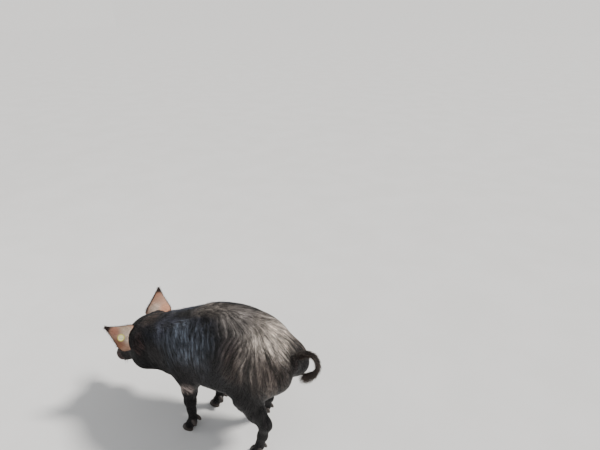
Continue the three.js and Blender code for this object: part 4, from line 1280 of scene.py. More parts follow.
# The way the hair lies: x, distance from the middle, height, then its direction there (back, outwards, up)
LIE = [
    (-500, 0, 186, 0.7, 0, 0.7), (-440, 0, 262, 0.72, 0, 0.7), (-385, 0, 345, 0.8, 0, 0.6),
    (-470, 30, 190, 0.78, 0.15, 0.55), (-420, 60, 262, 0.85, 0.2, 0.35), (-370, 85, 250, 0.9, 0.1, -0.1),
    (-400, 40, 190, 0.95, 0, 0.05), (-380, 0, 185, 1, 0, 0.1), (-300, 0, 240, 0.95, 0, -0.2),
    (-330, 95, 330, 0.8, 0.1, -0.5), (-260, 0, 450, 1, 0, 0.25), (-260, 95, 360, 0.75, 0, -0.65),
    (-250, 70, 265, 0.75, 0, -0.6), (-150, 0, 490, 1, 0, 0.12), (-140, 100, 430, 0.6, 0.1, -0.8),
    (-110, 130, 350, 0.3, 0, -1), (-100, 115, 270, 0.38, 0, -0.95), (-60, 110, 235, 0.5, 0, -0.85),
    (0, 0, 550, 1, 0, 0), (0, 85, 510, 0.35, 0.3, -0.8), (0, 145, 410, 0.12, 0, -1),
    (0, 130, 300, -0.4, -0.1, -0.85), (20, 60, 238, 0.2, -0.8, -0.3), (0, 0, 228, 1, 0, 0),
    (60, 68, 538, 0.5, 0.5, -0.45), (130, 0, 548, 1, 0, -0.12), (130, 34, 543, 0.9, 0.35, -0.25),
    (135, 92, 510, -0.3, 0.35, -0.9), (120, 145, 400, -0.5, 0, -0.85), (130, 125, 295, -0.55, 0, -0.75),
    (100, 0, 240, 1, 0, 0.1), (190, 62, 517, 0.2, 0.5, -0.75), (187, 118, 472, -0.35, 0.15, -0.9),
    (225, 0, 510, 0.95, 0, -0.4), (225, 85, 460, 0.15, 0.15, -0.95), (237, 60, 490, 0.45, 0.25, -0.8),
    (252, 28, 489, 0.8, 0.15, -0.6), (225, 130, 380, 0.12, 0, -1), (180, 130, 300, -0.45, 0, -0.9),
    (235, 110, 290, 0.05, 0, -1), (290, 0, 440, 0.5, 0, -0.85), (312, 50, 370, 0.1, 0, -1),
    (300, 0, 330, -0.1, 0, -1),
]
# The tufts on the body and the smallest ones, on the face and feet; spacing is from root to root
BODY_TUFT = {"length": 29, "width": 1.75, "thick": 0.6, "lift": 1.7, "spacing": 3.5}
SMALL_TUFT = {"length": 7.6, "width": 0.6, "thick": 0.3, "lift": 0.6, "spacing": 2.12}
# The parts of the coat: their range of smallness, and how far their spacing is from body to small
COAT_RANGES = [(-0.1, 0.34, 0.0), (0.34, 0.67, 0.5), (0.67, 1.1, 1.0)]
FACES_A_PIECE, FACES_A_TUFT = 190_000, 10
# The locks: the size of their noise, the steps taken along the hair, how many each way, and a seed
LONG_LOCKS, SHORT_LOCKS = (5.2, 6.5, 6, 31), (4.8, 5, 2, 32)
# The round column that the locks are laid out on
TRUNK_AXIS_Z, COLUMN_RADIUS = 390, 150
# The half size of a tuft's patch in the coat's unwrap
UV_PATCH = 0.0015


def smallness(p, on_ear):
    """0 where the coat is longest, 1 on the face, feet and ears."""
    face = smoothstep(-40, 110, head_axes.local(p)[:, 0])
    foot = smoothstep(250, 120, p[:, 2])
    return np.maximum(np.maximum(face, foot), on_ear)


def lie_at(p):
    """The way that the hair lies: a blend of the nearest directions in LIE, and down on the legs."""
    table = np.array(LIE, float)
    anchor, way = table[:, :3], table[:, 3:]
    side = np.where(p[:, 1] < 0, -1.0, 1.0)
    q = np.stack([p[:, 0], np.abs(p[:, 1]), p[:, 2]], 1)
    total = np.zeros_like(p)
    for a, d in zip(anchor, way):
        far2 = ((q - a) ** 2).sum(1)
        total += (1 / (far2 + 900) ** 2)[:, None] * unit(d)
    total = unit(total)
    total[:, 1] *= side
    leg = smoothstep(240, 180, p[:, 2]) * smoothstep(-260, -200, p[:, 0])
    return unit(total * (1 - leg)[:, None] + np.array([0.06, 0, -1.0]) * leg[:, None])


def turned(v, axis, angle):
    """Vectors turned about unit axes that they are square to."""
    return v * np.cos(angle)[:, None] + np.cross(axis, v) * np.sin(angle)[:, None]


def around_trunk(p):
    """Points drawn in or out to a round column along the trunk."""
    far = np.hypot(p[:, 1], p[:, 2] - TRUNK_AXIS_Z) + 1e-6
    y, z = p[:, 1] * COLUMN_RADIUS / far, (p[:, 2] - TRUNK_AXIS_Z) * COLUMN_RADIUS / far
    return np.stack([p[:, 0], y, z], 1)


def flow_line(p, normal, step, count):
    """Places ahead of or behind each point along the lie of the hair, laid out on the column."""
    far = np.hypot(p[:, 1], p[:, 2] - TRUNK_AXIS_Z)
    rows = []
    for _ in range(count):
        p = p + unit(flattened(lie_at(p), normal)) * step
        share = far / (np.hypot(p[:, 1], p[:, 2] - TRUNK_AXIS_Z) + 1e-6)
        p = np.stack([p[:, 0], p[:, 1] * share, TRUNK_AXIS_Z + (p[:, 2] - TRUNK_AXIS_Z) * share], 1)
        rows.append(around_trunk(p))
    return rows


def locks(p, normal, size, step, count, seed):
    """Noise drawn out into long locks along the lie of the hair, about 0 with a spread of 1."""
    rows = [around_trunk(p)] + flow_line(p, normal, step, count) + flow_line(p, normal, -step, count)
    total = sum(value_noise(q, size, seed) for q in rows)
    return (total - total.mean()) / total.std()


tail_line = curve_points(TAIL, 60)


def appendages(p):
    """The share of the ear's length (0 off the ears), how dark the rim is, and what is on the tail."""
    proud = smoothstep(0.2, 3.0, body_field(p))
    ear_share = np.zeros(len(p))
    rim = np.zeros(len(p))
    for side in (LEFT, RIGHT):
        s, w, n = ear_axes(side).local(p).T
        length = EAR_LIE[side]["length"]
        near = (proud > 0) & (s > -5) & (s < length + 4) & (np.abs(w) < 75) & (np.abs(n) < 75)
        near &= np.abs(p[:, 1] - EAR_LIE[side]["root"][1]) < 130
        near &= head_axes.local(p)[:, 0] < 60
        share = np.clip(s / length, 0.001, 1)
        half = sections(EAR_ROWS, share)[0]
        edge = (w - EAR_LIE[side]["sweep"] * share**2) / half
        ear_share[near] = (np.maximum(share, 0.02) * (proud > 0.3))[near]
        start = 0.52 if side == RIGHT else 0.74
        narrow = smoothstep(0.86, 1.0, edge)
        broad = smoothstep(start, start + 0.3, 0.25 * (share - 0.5) - edge)
        rim[near] = (np.maximum(narrow, broad) * smoothstep(0.05, 0.3, share))[near]
    tail = (p[:, 0] > 292) & (np.abs(p[:, 1]) < 32) & (p[:, 2] > 378) & (body_field(p) > 0.4)
    return ear_share, rim, tail


# ---------------------------------------------------------------- an unwrap of the skin's shape

class Atlas:
    """Flat charts of the skin, one for each part and each way that it faces, packed in one square."""

    WAYS = np.array([[1, 0, 0], [-1, 0, 0], [0, 1, 0], [0, -1, 0], [0, 0, 1], [0, 0, -1]], float)
    MARGIN = 14

    def __init__(self, points, normals, parts):
        self.charts = {}
        chart = self.keys(normals, parts)
        sized = []
        for key in np.unique(chart):
            flat = self.flat(points[chart == key], key % 6)
            low, high = flat.min(0), flat.max(0)
            sized.append((high[1] - low[1], high[0] - low[0], key, low))
        sized.sort(reverse=True)
        area = sum((h + self.MARGIN) * (w + self.MARGIN) for h, w, _, _ in sized)
        side = math.sqrt(area) * 1.02
        while not self.packed(sized, side):
            side *= 1.03

    def packed(self, sized, side):
        """Lays the charts in rows in a square of this side, and says whether they all fit."""
        x, y, row = 0.0, 0.0, 0.0
        self.side = side
        for h, w, key, low in sized:
            if x + w + self.MARGIN > side:
                x, y, row = 0.0, y + row, 0.0
            if w + self.MARGIN > side or y + h + self.MARGIN > side:
                return False
            self.charts[key] = (x + self.MARGIN / 2 - low[0], y + self.MARGIN / 2 - low[1])
            x, row = x + w + self.MARGIN, max(row, h + self.MARGIN)
        return True

    def keys(self, normals, parts):
        return parts * 6 + (normals @ self.WAYS.T).argmax(1)

    @staticmethod
    def flat(p, way):
        i, j = ((1, 2), (1, 2), (0, 2), (0, 2), (0, 1), (0, 1))[way]
        return np.stack([p[:, i], p[:, j]], 1)

    def place(self, points, normals, parts):
        """Where points lie in the square; a point without a chart of its own goes by the first one."""
        out = np.zeros((len(points), 2))
        chart = self.keys(normals, parts)
        for key in np.unique(chart):
            rows = chart == key
            shift = self.charts.get(key)
            if shift is None:
                shift = next(iter(self.charts.values()))
            out[rows] = (self.flat(points[rows], key % 6) + np.array(shift)) / self.side
        return np.clip(out, 0.002, 0.998)


def part_number(p, ear_share, tail):
    """0 trunk and neck, 1 head, 2 to 5 the legs, 6 and 7 the ears, 8 the tail."""
    part = np.where(head_axes.local(p)[:, 0] > 0, 1, 0)
    for n, name in enumerate(LEGS):
        low = (leg_fields[name](p) < 6) & (p[:, 2] < 235)
        part[low] = 2 + n
    part[ear_share > 0] = np.where(p[:, 1] < -5, 6, 7)[ear_share > 0]
    part[tail] = 8
    return part


# ---------------------------------------------------------------- tufts

def blades(centres, normals, sides, widths, thicks):
    """Closed three-sided blades through the centres given (blade, step, xyz); the last step is the tip."""
    count, steps = centres.shape[:2]
    rings = []
    for k in range(steps - 1):
        w, t = widths[:, k, None], thicks[:, k, None]
        c, n, s = centres[:, k], normals[:, k], sides[:, k]
        rings += [c - s * w / 2, c + s * w / 2, c + n * t]
    points = np.stack(rings + [centres[:, -1]], 1)
    each = points.shape[1]
    faces = [(0, 2, 1)]
    for k in range(steps - 2):
        for a, b in ((0, 1), (1, 2), (2, 0)):
            a, b = 3 * k + a, 3 * k + b
            faces += [(a, b, b + 3), (a, b + 3, a + 3)]
    k = 3 * (steps - 2)
    faces += [(k, k + 1, each - 1), (k + 1, k + 2, each - 1), (k + 2, k, each - 1)]
    faces = np.array(faces)
    first = points[0]
    a, b, c = (first[faces[:, n]] - first.mean(0) for n in range(3))
    if np.einsum("ij,ij->", a, np.cross(b, c)) < 0:
        faces = faces[:, ::-1]
    faces = (np.arange(count) * each)[:, None, None] + faces[None]
    return points.reshape(-1, 3), faces.reshape(-1, 3), each


skin_normals = point_normals(skin_points, skin_faces)
skin_tree = BVHTree.FromPolygons(skin_points.tolist(), skin_faces.tolist())


def on_skin(p):
    """The nearest places on the skin, and the smooth normals there."""
    found = [skin_tree.find_nearest(q) for q in p]
    place = np.array([f[0] for f in found])
    face = skin_faces[[f[2] for f in found]]
    corner = skin_points[face]
    weight = 1 / (np.linalg.norm(corner - place[:, None], axis=2) + 0.3)
    normal = (skin_normals[face] * weight[:, :, None]).sum(1)
    return place, unit(normal)


def scattered(spacing, wanted):
    """Places on the skin about a spacing apart, where the mask function says so."""
    a, b, c = (skin_points[skin_faces[:, n]] for n in range(3))
    area = np.linalg.norm(np.cross(b - a, c - a), axis=1) / 2
    count = int(area.sum() / spacing**2 * 4)
    pick = np.searchsorted(np.cumsum(area), RANDOM.random(count) * area.sum()).clip(0, len(area) - 1)
    u, v = RANDOM.random((2, count))
    over = u + v > 1
    u, v = np.where(over, 1 - u, u), np.where(over, 1 - v, v)
    place = a[pick] + u[:, None] * (b - a)[pick] + v[:, None] * (c - a)[pick]
    f = skin_faces[pick]
    w = np.stack([1 - u - v, u, v], 1)
    normal = unit((skin_normals[f] * w[:, :, None]).sum(1))
    keep = wanted(place)
    place, normal = place[keep], normal[keep]
    cell = np.floor((place + 1000) / spacing).astype(np.int64)
    key = (cell[:, 0] * 4096 + cell[:, 1]) * 4096 + cell[:, 2]
    first = np.unique(key, return_index=True)[1]
    return place[first], normal[first]


def bare(p):
    """Places with no hair: the nose's disc, the mouth's line, the lids' edges, teats, tag and hoofs."""
    s, _, v = head_axes.local(p).T
    out = s > 236
    off, _ = along_line(np.stack([s, v], 1), MOUTH_LINE)
    out |= (off < 2.2) & (s > 100)
    for side in (LEFT, RIGHT):
        rho, _, o = lid_place(p, side)
        far = np.linalg.norm(p - eye_centre(side), axis=1)
        out |= (rho < 1.22) & (o > -12) & (far < 26)
        out |= far < EYE["radius"] + 1.2
    for teat in teats:
        out |= np.linalg.norm(p - (teat - [0, 0, 4]), axis=1) < 7
    o, w, v = tag_axes().local(p).T
    out |= (np.hypot(w, v) < TAG["radius"] - 0.5) & (o > -3) & (o < 3)
    out |= (np.hypot(w, v) < TAG["button"]) & (np.abs(o) < 14)
    for leg in LEGS.values():
        foot = foot_of(leg)
        below = p[:, 2] + CORONET["slope"] * p[:, 0] < coronet_level(foot) + 1.2
        out |= near_foot(p, foot, 70, 45) & below
    return out


def tufts(spacing, low, high):
    """The roots of the tufts in one range of smallness, with the normals there."""
    def wanted(p):
        on_ear = (appendages(p)[0] > 0).astype(float)
        small = smallness(p, on_ear)
        return (small >= low) & (small < high)

    place, normal = scattered(spacing, wanted)
    keep = ~bare(place)
    return place[keep], normal[keep]


def between(key, share):
    """A size of the tufts, from the body's to the small ones'."""
    return BODY_TUFT[key] + (SMALL_TUFT[key] - BODY_TUFT[key]) * share


def combed(place, normal, ear_share, tail):
    """The way that each tuft points: along the ears and the tail, by the lie elsewhere, a little astray."""
    way = lie_at(place)
    for side in (LEFT, RIGHT):
        mine = (ear_share > 0) & (np.sign(place[:, 1] + 5) == side)
        axes = ear_axes(side)
        w = axes.local(place)[:, 1]
        way[mine] = unit(axes.along + 0.012 * w[mine, None] * axes.side)
    step = np.argmin(((place[tail][:, None] - tail_line[None, :, :3]) ** 2).sum(2), axis=1)
    way[tail] = unit(np.gradient(tail_line[:, :3], axis=0))[step]
    swirl = 0.16 * value_noise(place, 60, 90) + 0.1 * value_noise(place, 16, 91)
    return turned(unit(flattened(way, normal)), normal, swirl + RANDOM.normal(0, 0.07, len(place)))


def coat():
    """All the short coat: roots, and blades that follow the skin from them."""
    sets = [tufts(between("spacing", share), low, high) for low, high, share in COAT_RANGES]
    place, normal = (np.concatenate(rows) for rows in zip(*sets))
    count = len(place)
    ear_share, rim, tail = appendages(place)
    small = smallness(place, (ear_share > 0).astype(float))
    way = combed(place, normal, ear_share, tail)
    across = np.cross(normal, way)
    # the ridge of the back, where the tufts stand higher
    ridge = smoothstep(40, 6, np.abs(place[:, 1])) * smoothstep(400, 450, place[:, 2])
    ridge *= smoothstep(-330, -250, place[:, 0]) * smoothstep(300, 200, place[:, 0]) * (1 - tail)
    # the locks: which tufts stand out together, and to which side they are drawn
    rear = smoothstep(-30, 110, place[:, 0])
    long_locks = locks(place, normal, *LONG_LOCKS)
    short_locks = locks(place, normal, *SHORT_LOCKS)
    clump = (rear * long_locks + (1 - rear) * (0.75 * short_locks + 0.4 * long_locks)) * (1 - 0.45 * small)
    pull = locks(place + 1.5 * across, normal, *LONG_LOCKS) - long_locks
    length = between("length", small) * RANDOM.uniform(0.68, 1.25, count) * (1 + 0.2 * ridge)
    length = np.where(tail, 12, length)
    width = between("width", small) * RANDOM.uniform(0.7, 1.2, count) * np.where(tail, 0.7, 1)
    thick = between("thick", small) * RANDOM.uniform(0.8, 1.2, count)
    stand = 0.35 + 0.8 * RANDOM.random(count) ** 2 + 0.28 * np.clip(clump, -1, 1.5)
    lift = between("lift", small) * stand + 1.4 * ridge
    aim = way + across * (0.09 * np.clip(pull, -1.5, 1.5) * (1 - small))[:, None]
    middle, middle_normal = on_skin(place + way * (0.5 * length)[:, None])
    end, end_normal = on_skin(place + aim * length[:, None])
    centres = np.stack([
        place - normal * 0.9,
        middle + middle_normal * (0.35 * lift)[:, None],
        end + end_normal * lift[:, None],
    ], 1)
    normals = np.stack([normal, middle_normal, end_normal], 1)
    sides = unit(np.cross(normals, way[:, None, :]))
    widths = np.stack([0.75 * width, width, 0 * width], 1)
    thicks = np.stack([0.8 * thick, thick, 0 * thick], 1)
    # the shade of each tuft: lighter and darker locks, partly the hair's random tone and partly painted sheen
    # along the locks; a few tufts on the shoulder and flank get painted glints
    glint = (RANDOM.random(count) < 0.07) * (1 - small) * (1 - rear)
    shade = 0.45 + (0.5 - 0.16 * rear) * clump + 0.3 * glint + RANDOM.normal(0, 0.06, count)
    return {"place": place, "normal": normal, "centres": centres, "normals": normals, "sides": sides,
            "widths": widths, "thicks": thicks, "shade": np.clip(shade, 0, 1),
            "ear": ear_share, "rim": rim, "tail": tail}


# ---------------------------------------------------------------- longer hairs

def drawn(values, count):
    """Values as they are, or drawn evenly from a range (low, high)."""
    return RANDOM.uniform(*values, count) if isinstance(values, tuple) else values


def strands(place, normal, way, length, width, fall, steps=6):
    """Longer hairs that leave the skin along a way and bend down by their share of fall."""
    count = len(place)
    length, width, fall = (drawn(values, count) for values in (length, width, fall))
    t = np.linspace(0, 1, steps)
    heading = unit(way[:, None] + (fall[:, None] * t)[:, :, None] * np.array([0, 0, -1.0]))
    run = heading * (length / (steps - 1))[:, None, None]
    reach = np.concatenate([np.zeros((count, 1, 3)), run[:, :-1].cumsum(1)], 1)
    centres = (place - normal * 0.8)[:, None] + reach
    sides = unit(np.cross(normal[:, None] + 0.01, heading))
    taper = np.sqrt(np.clip(1 - t**2, 0, 1))
    ear, rim, tail = appendages(place)
    return {"place": place, "normal": normal, "centres": centres, "normals": np.cross(heading, sides),
            "sides": sides, "widths": width[:, None] * taper, "thicks": 0.5 * width[:, None] * taper,
            "shade": RANDOM.random(count), "ear": ear, "rim": rim, "tail": tail}


def joined_sets(sets):
    return {key: np.concatenate([one[key] for one in sets]) for key in sets[0]}


def tail_hair():
    """Loose hair all along the tail, and a tassel at its end."""
    count, steps = 2600, 240
    line = curve_points(TAIL, steps)
    centre, radius = line[:, :3], line[:, 3]
    along = unit(np.gradient(centre, axis=0))
    share = RANDOM.random(count) ** 0.8
    share = np.where(RANDOM.random(count) < 0.3, RANDOM.uniform(0.8, 1.0, count), share)
    step = (share * (steps - 1)).astype(int)
    angle = RANDOM.uniform(0, 2 * np.pi, count)
    side = unit(np.cross(along[step], (0, 1, 0.001)))
    normal = side * np.cos(angle)[:, None] + np.cross(along[step], side) * np.sin(angle)[:, None]
    keep = step > 30
    step, share, normal = step[keep], share[keep], normal[keep]
    place = centre[step] + normal * (radius[step] * 0.96)[:, None]
    end = smoothstep(0.72, 1.0, share)
    way = unit(along[step] + normal * (0.42 + 0.3 * end)[:, None] + RANDOM.normal(0, 0.16, place.shape))
    length = (11 + 8 * share + 12 * end) * RANDOM.uniform(0.6, 1.25, len(place))
    return strands(place, normal, way, length, (0.6, 1.0), 0.5 + 0.9 * end)


def spine_hair():
    """Hairs along the back that stand a little free of the coat."""
    count = 4200
    x = RANDOM.uniform(-300, 268, count)
    y = RANDOM.normal(0, 30, count)
    back = np.interp(x, [-300, -150, 0, 150, 262], [430, 500, 555, 550, 480])
    place, normal = on_skin(np.stack([x, y, back], 1))
    stand = normal * RANDOM.uniform(0.12, 0.45, count)[:, None]
    way = unit(unit(flattened(lie_at(place), normal)) + stand + RANDOM.normal(0, 0.08, place.shape))
    return strands(place, normal, way, (15, 28), (0.5, 0.85), (0.2, 0.7))


def ear_fringe():
    """Fine hairs over the rims of the ears and in their hollows."""
    sets = []
    for side in (LEFT, RIGHT):
        axes = ear_axes(side)
        count = 620
        share = RANDOM.uniform(0.16, 1.0, count)
        edge = np.where(RANDOM.random(count) < 0.5, -1.0, 1.0) * RANDOM.uniform(0.9, 1.0, count)
        place = axes.world(*ear_shape(side, share, edge, False))
        outward = axes.side * np.sign(edge)[:, None]
        normal = unit(outward + axes.up * RANDOM.normal(0, 0.3, count)[:, None])
        way = unit(axes.along * RANDOM.uniform(0.5, 1.1, count)[:, None] + normal * 0.75)
        sets.append(strands(place, normal, way, (4, 9), (0.35, 0.5), (0, 0.4)))
        count = 520
        share = RANDOM.uniform(0.22, 0.85, count)
        edge = RANDOM.uniform(-0.9, 0.9, count)
        place = axes.world(*ear_shape(side, share, edge, True))
        normal = unit(-axes.up + axes.side * (-0.7 * edge)[:, None])
        stand = normal * RANDOM.uniform(0.2, 0.6, count)[:, None]
        way = unit(axes.along + stand + RANDOM.normal(0, 0.12, place.shape))
        sets.append(strands(place, normal, way, (6, 13), (0.35, 0.5), (0, 0.3)))
    return joined_sets(sets)


def coronet_fringe():
    """The hair that hangs over the upper edge of the hoofs."""
    def wanted(p):
        out = np.zeros(len(p), bool)
        for leg in LEGS.values():
            foot = foot_of(leg)
            above = p[:, 2] + CORONET["slope"] * p[:, 0] - coronet_level(foot)
            out |= near_foot(p, foot, 60, 40) & (above > 0.6) & (above < 5)
        return out

    place, normal = scattered(1.25, wanted)
    normal = unit(normal * (1, 1, 0.2))
    stand = normal * RANDOM.uniform(0.2, 0.5, len(place))[:, None]
    way = unit(stand + (0.05, 0, -1.0) + RANDOM.normal(0, 0.1, place.shape))
    return strands(place, normal, way, (6, 10.5), (0.5, 0.75), (0, 0.4), steps=5)


def lashes(side, top, count, longest):
    """The lashes of an upper lid (top is 1) or a lower one (-1), longest in the middle."""
    axes = eye_axes(side)
    across = RANDOM.uniform(-0.86, 0.86, count)
    open_up = np.sqrt(1 - across**2) ** 1.25
    place = axes.world(EYE["radius"] + 1.2 + 0 * across, EYE_OPENING["half"] * across,
                       top * (EYE_OPENING["tall"] * open_up + 1.0))
    normal = unit(axes.along + top * 0.5 * axes.up + 0 * place)
    way = unit(axes.along + top * axes.up * 0.35 + axes.side * (across * 0.35)[:, None])
    length = longest * open_up * RANDOM.uniform(0.7, 1.1, count)
    width = RANDOM.uniform(0.4, 0.55, count)
    return strands(place, normal, way, length, width, -top * RANDOM.uniform(0.1, 0.4, count))


def whiskers():
    """Stiff hairs on the snout and lips, and the lashes."""
    sets = []
    count = 150
    for side in (LEFT, RIGHT):
        s = RANDOM.uniform(140, 232, count)
        v = RANDOM.uniform(-48, 14, count)
        place, normal = on_skin(head_axes.world(s, side * RANDOM.uniform(20, 50, count), v))
        keep = ~bare(place)
        place, normal = place[keep], normal[keep]
        forward = head_axes.along * RANDOM.uniform(-0.5, 0.3, len(place))[:, None]
        way = unit(normal + forward + (0, 0, -0.3))
        sets.append(strands(place, normal, way, (9, 24), (0.4, 0.6), (0.2, 0.8)))
        sets += [lashes(side, 1, 46, 12.0), lashes(side, -1, 20, 6.0)]
    return joined_sets(sets)


def set_float(made, name, values):
    layer = made.data.attributes.new(name, "FLOAT", "POINT")
    layer.data.foreach_set("value", np.asarray(values, np.float32))


def set_vector(made, name, values):
    layer = made.data.attributes.new(name, "FLOAT_VECTOR", "POINT")
    layer.data.foreach_set("vector", np.asarray(values, np.float32).ravel())


def coat_piece(name, hairs, rows, atlas):
    """One named piece of the coat from the rows chosen of its hairs."""
    c = {key: values[rows] for key, values in hairs.items()}
    points, faces, each = blades(*(c[key] for key in ("centres", "normals", "sides", "widths", "thicks")))
    made = new_object(name, points, faces)
    steps = c["centres"].shape[1]
    u = np.tile([-1, 1, 0], steps - 1).tolist() + [0]
    v = np.repeat(np.linspace(-1, 1, steps)[:-1], 3).tolist() + [1]
    corner = np.stack([u, v], 1) * UV_PATCH
    roots = atlas.place(c["place"], c["normal"], part_number(c["place"], c["ear"], c["tail"]))
    uv = (roots[:, None] + corner[None]).reshape(-1, 2)
    layer = made.data.uv_layers.new(name="OFBake")
    layer.data.foreach_set("uv", uv[faces.ravel()].astype(np.float32).ravel())
    for key in ("shade", "ear", "rim"):
        set_float(made, key, np.repeat(c[key], each))
    tip = np.append(np.repeat(np.linspace(0, 1, steps)[:-1], 3), 1.0)
    set_float(made, "tip", np.tile(tip, len(rows)))
    return made


# ---------------------------------------------------------------- materials

def linear(*srgb):
    """A colour as the shader wants it, from 0 to 255 values as the eye names them."""
    out = [c / 255 / 12.92 if c <= 10 else ((c / 255 + 0.055) / 1.055) ** 2.4 for c in srgb]
    return (*out, 1.0)


class Nodes:
    """Short ways to add shader nodes to one tree."""

    def __init__(self, tree):
        self.tree = tree

    def add(self, kind, **settings):
        node = self.tree.nodes.new(kind)
        for key, value in settings.items():
            setattr(node, key, value)
        return node

    def feed(self, socket, value):
        if isinstance(value, bpy.types.NodeSocket):
            self.tree.links.new(value, socket)
        elif value is not None:
            socket.default_value = value

    def fill(self, shader, values):
        """Feeds a shader's sockets, by their names."""
        for name, value in values.items():
            self.feed(shader.inputs[name], value)

    def place(self):
        """Where a point is in its object, in metres."""
        return self.add("ShaderNodeTexCoord").outputs["Object"]

    def attribute(self, name, output="Fac"):
        return self.add("ShaderNodeAttribute", attribute_name=name).outputs[output]

    def math(self, operation, a, b):
        node = self.add("ShaderNodeMath", operation=operation)
        self.feed(node.inputs[0], a)
        self.feed(node.inputs[1], b)
        return node.outputs[0]

    def plus(self, a, b):
        return self.math("ADD", a, b)

    def minus(self, a, b):
        return self.math("SUBTRACT", a, b)

    def times(self, a, b):
        return self.math("MULTIPLY", a, b)

    def vector(self, operation, a, b=None, scale=None):
        node = self.add("ShaderNodeVectorMath", operation=operation)
        self.feed(node.inputs[0], a)
        self.feed(node.inputs[1], b)
        if scale is not None:
            self.feed(node.inputs["Scale"], scale)
        return node.outputs["Value" if operation in ("DOT_PRODUCT", "LENGTH", "DISTANCE") else "Vector"]

    def ramp(self, value, low, high, start=0.0, end=1.0, smooth=True):
        node = self.add("ShaderNodeMapRange", interpolation_type="SMOOTHSTEP" if smooth else "LINEAR")
        for socket, v in zip(node.inputs, (value, low, high, start, end)):
            self.feed(socket, v)
        return node.outputs[0]

    def mix(self, share, a, b):
        node = self.add("ShaderNodeMix", data_type="RGBA")
        self.feed(node.inputs[0], share)
        self.feed(node.inputs[6], a)
        self.feed(node.inputs[7], b)
        return node.outputs[2]

    def noise(self, place, scale, detail=2.0, roughness=0.5, output="Fac"):
        node = self.add("ShaderNodeTexNoise")
        self.fill(node, {"Vector": place, "Scale": scale, "Detail": detail, "Roughness": roughness})
        return node.outputs[output]

    def bump(self, height, strength, distance, normal=None):
        node = self.add("ShaderNodeBump")
        self.fill(node, {"Height": height, "Strength": strength, "Distance": distance, "Normal": normal})
        return node.outputs[0]


def metres(p):
    """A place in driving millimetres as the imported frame's metres."""
    return tuple((np.array(p, float) + SHIFT) / 1000)


# A marking's soft edge: the share of its reach where it begins, and where it is full
PATCH_EDGE = (1.25, 0.3)
# Body patches: where (mm), how far they reach, colour and strength. One with a y over 0 is on both sides.
# Some are the coat's own colour, some painted light: sheen, glints, shade and a sunlit patch.
MARKS_AND_PAINTED_LIGHT = [
    ((40, 140, 420), (180, 60, 90), (50, 52, 57), 0.8),
    # painted sheen: pale bluish glints on the black hair of the shoulder and mid flank
    ((-70, 112, 460), (170, 80, 85), (80, 86, 96), 0.95),
    # painted sheen: the same bluish glints higher on the shoulder
    ((-185, 60, 440), (80, 70, 70), (62, 64, 74), 0.85),
    ((-130, 125, 380), (60, 60, 80), (36, 39, 44), 0.8),
    # painted sheen, with some dust: the pale crest of the back
    ((0, 0, 548), (190, 60, 60), (106, 99, 93), 0.9),
    ((140, 110, 490), (70, 60, 50), (76, 69, 68), 0.9),
    ((150, 135, 430), (80, 60, 80), (64, 55, 50), 0.85),
    # painted sheen, with some dust: the paler top of the rump
    ((130, -20, 545), (105, 95, 60), (120, 114, 110), 0.95),
    # painted sheen, with some dust: the pale grey-brown croup and rump
    ((240, 0, 500), (100, 125, 90), (192, 181, 170), 1.0),
    # painted sheen: the pale side of the rump over the thigh
    ((200, 118, 450), (55, 60, 60), (126, 118, 112), 0.8),
    ((262, 90, 400), (80, 80, 90), (104, 94, 88), 0.7),
    ((-25, 70, 530), (110, 26, 40), (36, 37, 43), 0.7),
    # painted shade: a dark band in the fold of the mid flank
    ((76, 142, 412), (36, 60, 95), (23, 23, 25), 0.8),
    ((-310, 0, 415), (70, 60, 34), (80, 68, 60), 0.45),
    # painted shade: the dark bluish hollow of the neck behind the jowls
    ((-262, 75, 398), (50, 50, 60), (22, 24, 30), 0.8),
    ((-312, 95, 340), (36, 45, 60), (54, 40, 38), 0.8),
    # painted light: a pale pinkish-grey patch of sunlight on the outer upper foreleg
    ((-78, 124, 238), (34, 40, 44), (164, 149, 143), 0.85),
    ((-440, 0, 330), (60, 50, 90), (43, 40, 41), 0.7),
    ((-385, 70, 270), (50, 40, 45), (41, 39, 41), 0.7),
    ((-520, 0, 168), (60, 60, 50), (46, 40, 39), 0.5),
    ((20, 0, 225), (190, 70, 40), (66, 54, 51), 0.6),
    ((362, 0, 420), (60, 40, 60), (44, 32, 31), 0.9),
]
# Patches on the ears: where (mm), how far they reach, colour and strength
EAR_PATCHES = [
    ((-385, -80, 382), (34, 26, 26), (176, 158, 138), 0.9),
    ((-362, -90, 366), (34, 34, 34), (196, 176, 160), 1.0),
    ((-396, -120, 336), (40, 26, 30), (152, 106, 82), 1.0),
    ((-362, -110, 314), (22, 22, 20), (176, 140, 118), 0.8),
    ((-418, -102, 380), (25, 22, 20), (160, 98, 80), 0.6),
    ((-372, 72, 382), (36, 44, 34), (188, 170, 155), 0.9),
    ((-336, 104, 382), (26, 40, 40), (192, 142, 114), 0.9),
    ((-410, 140, 420), (34, 34, 34), (176, 126, 102), 0.8),
]
EAR_TAN, EAR_PORE, EAR_DARK = (184, 146, 124), (92, 62, 50), (40, 27, 24)
BLACK = (27, 25, 26)


def patch_mask(n, place, centre, reach, strength):
    """How far a soft round patch covers a place."""
    size = tuple(r / 1000 for r in reach)
    far = n.vector("LENGTH", n.vector("DIVIDE", n.vector("SUBTRACT", place, metres(centre)), size))
    return n.ramp(far, *PATCH_EDGE, 0.0, strength)


def marks_and_painted_light(n, place):
    """The body's colour by place: black, with the patches over it, own markings and painted sheen, glints and
    shade among them.
    """
    colour = linear(*BLACK)
    for (x, y, z), reach, shade, strength in MARKS_AND_PAINTED_LIGHT:
        sides = (LEFT, RIGHT) if y > 0 else (RIGHT,)
        masks = [patch_mask(n, place, (x, y * side, z), reach, strength) for side in sides]
        mask = masks[0] if len(masks) == 1 else n.math("MAXIMUM", *masks)
        colour = n.mix(mask, colour, linear(*shade))
    return colour


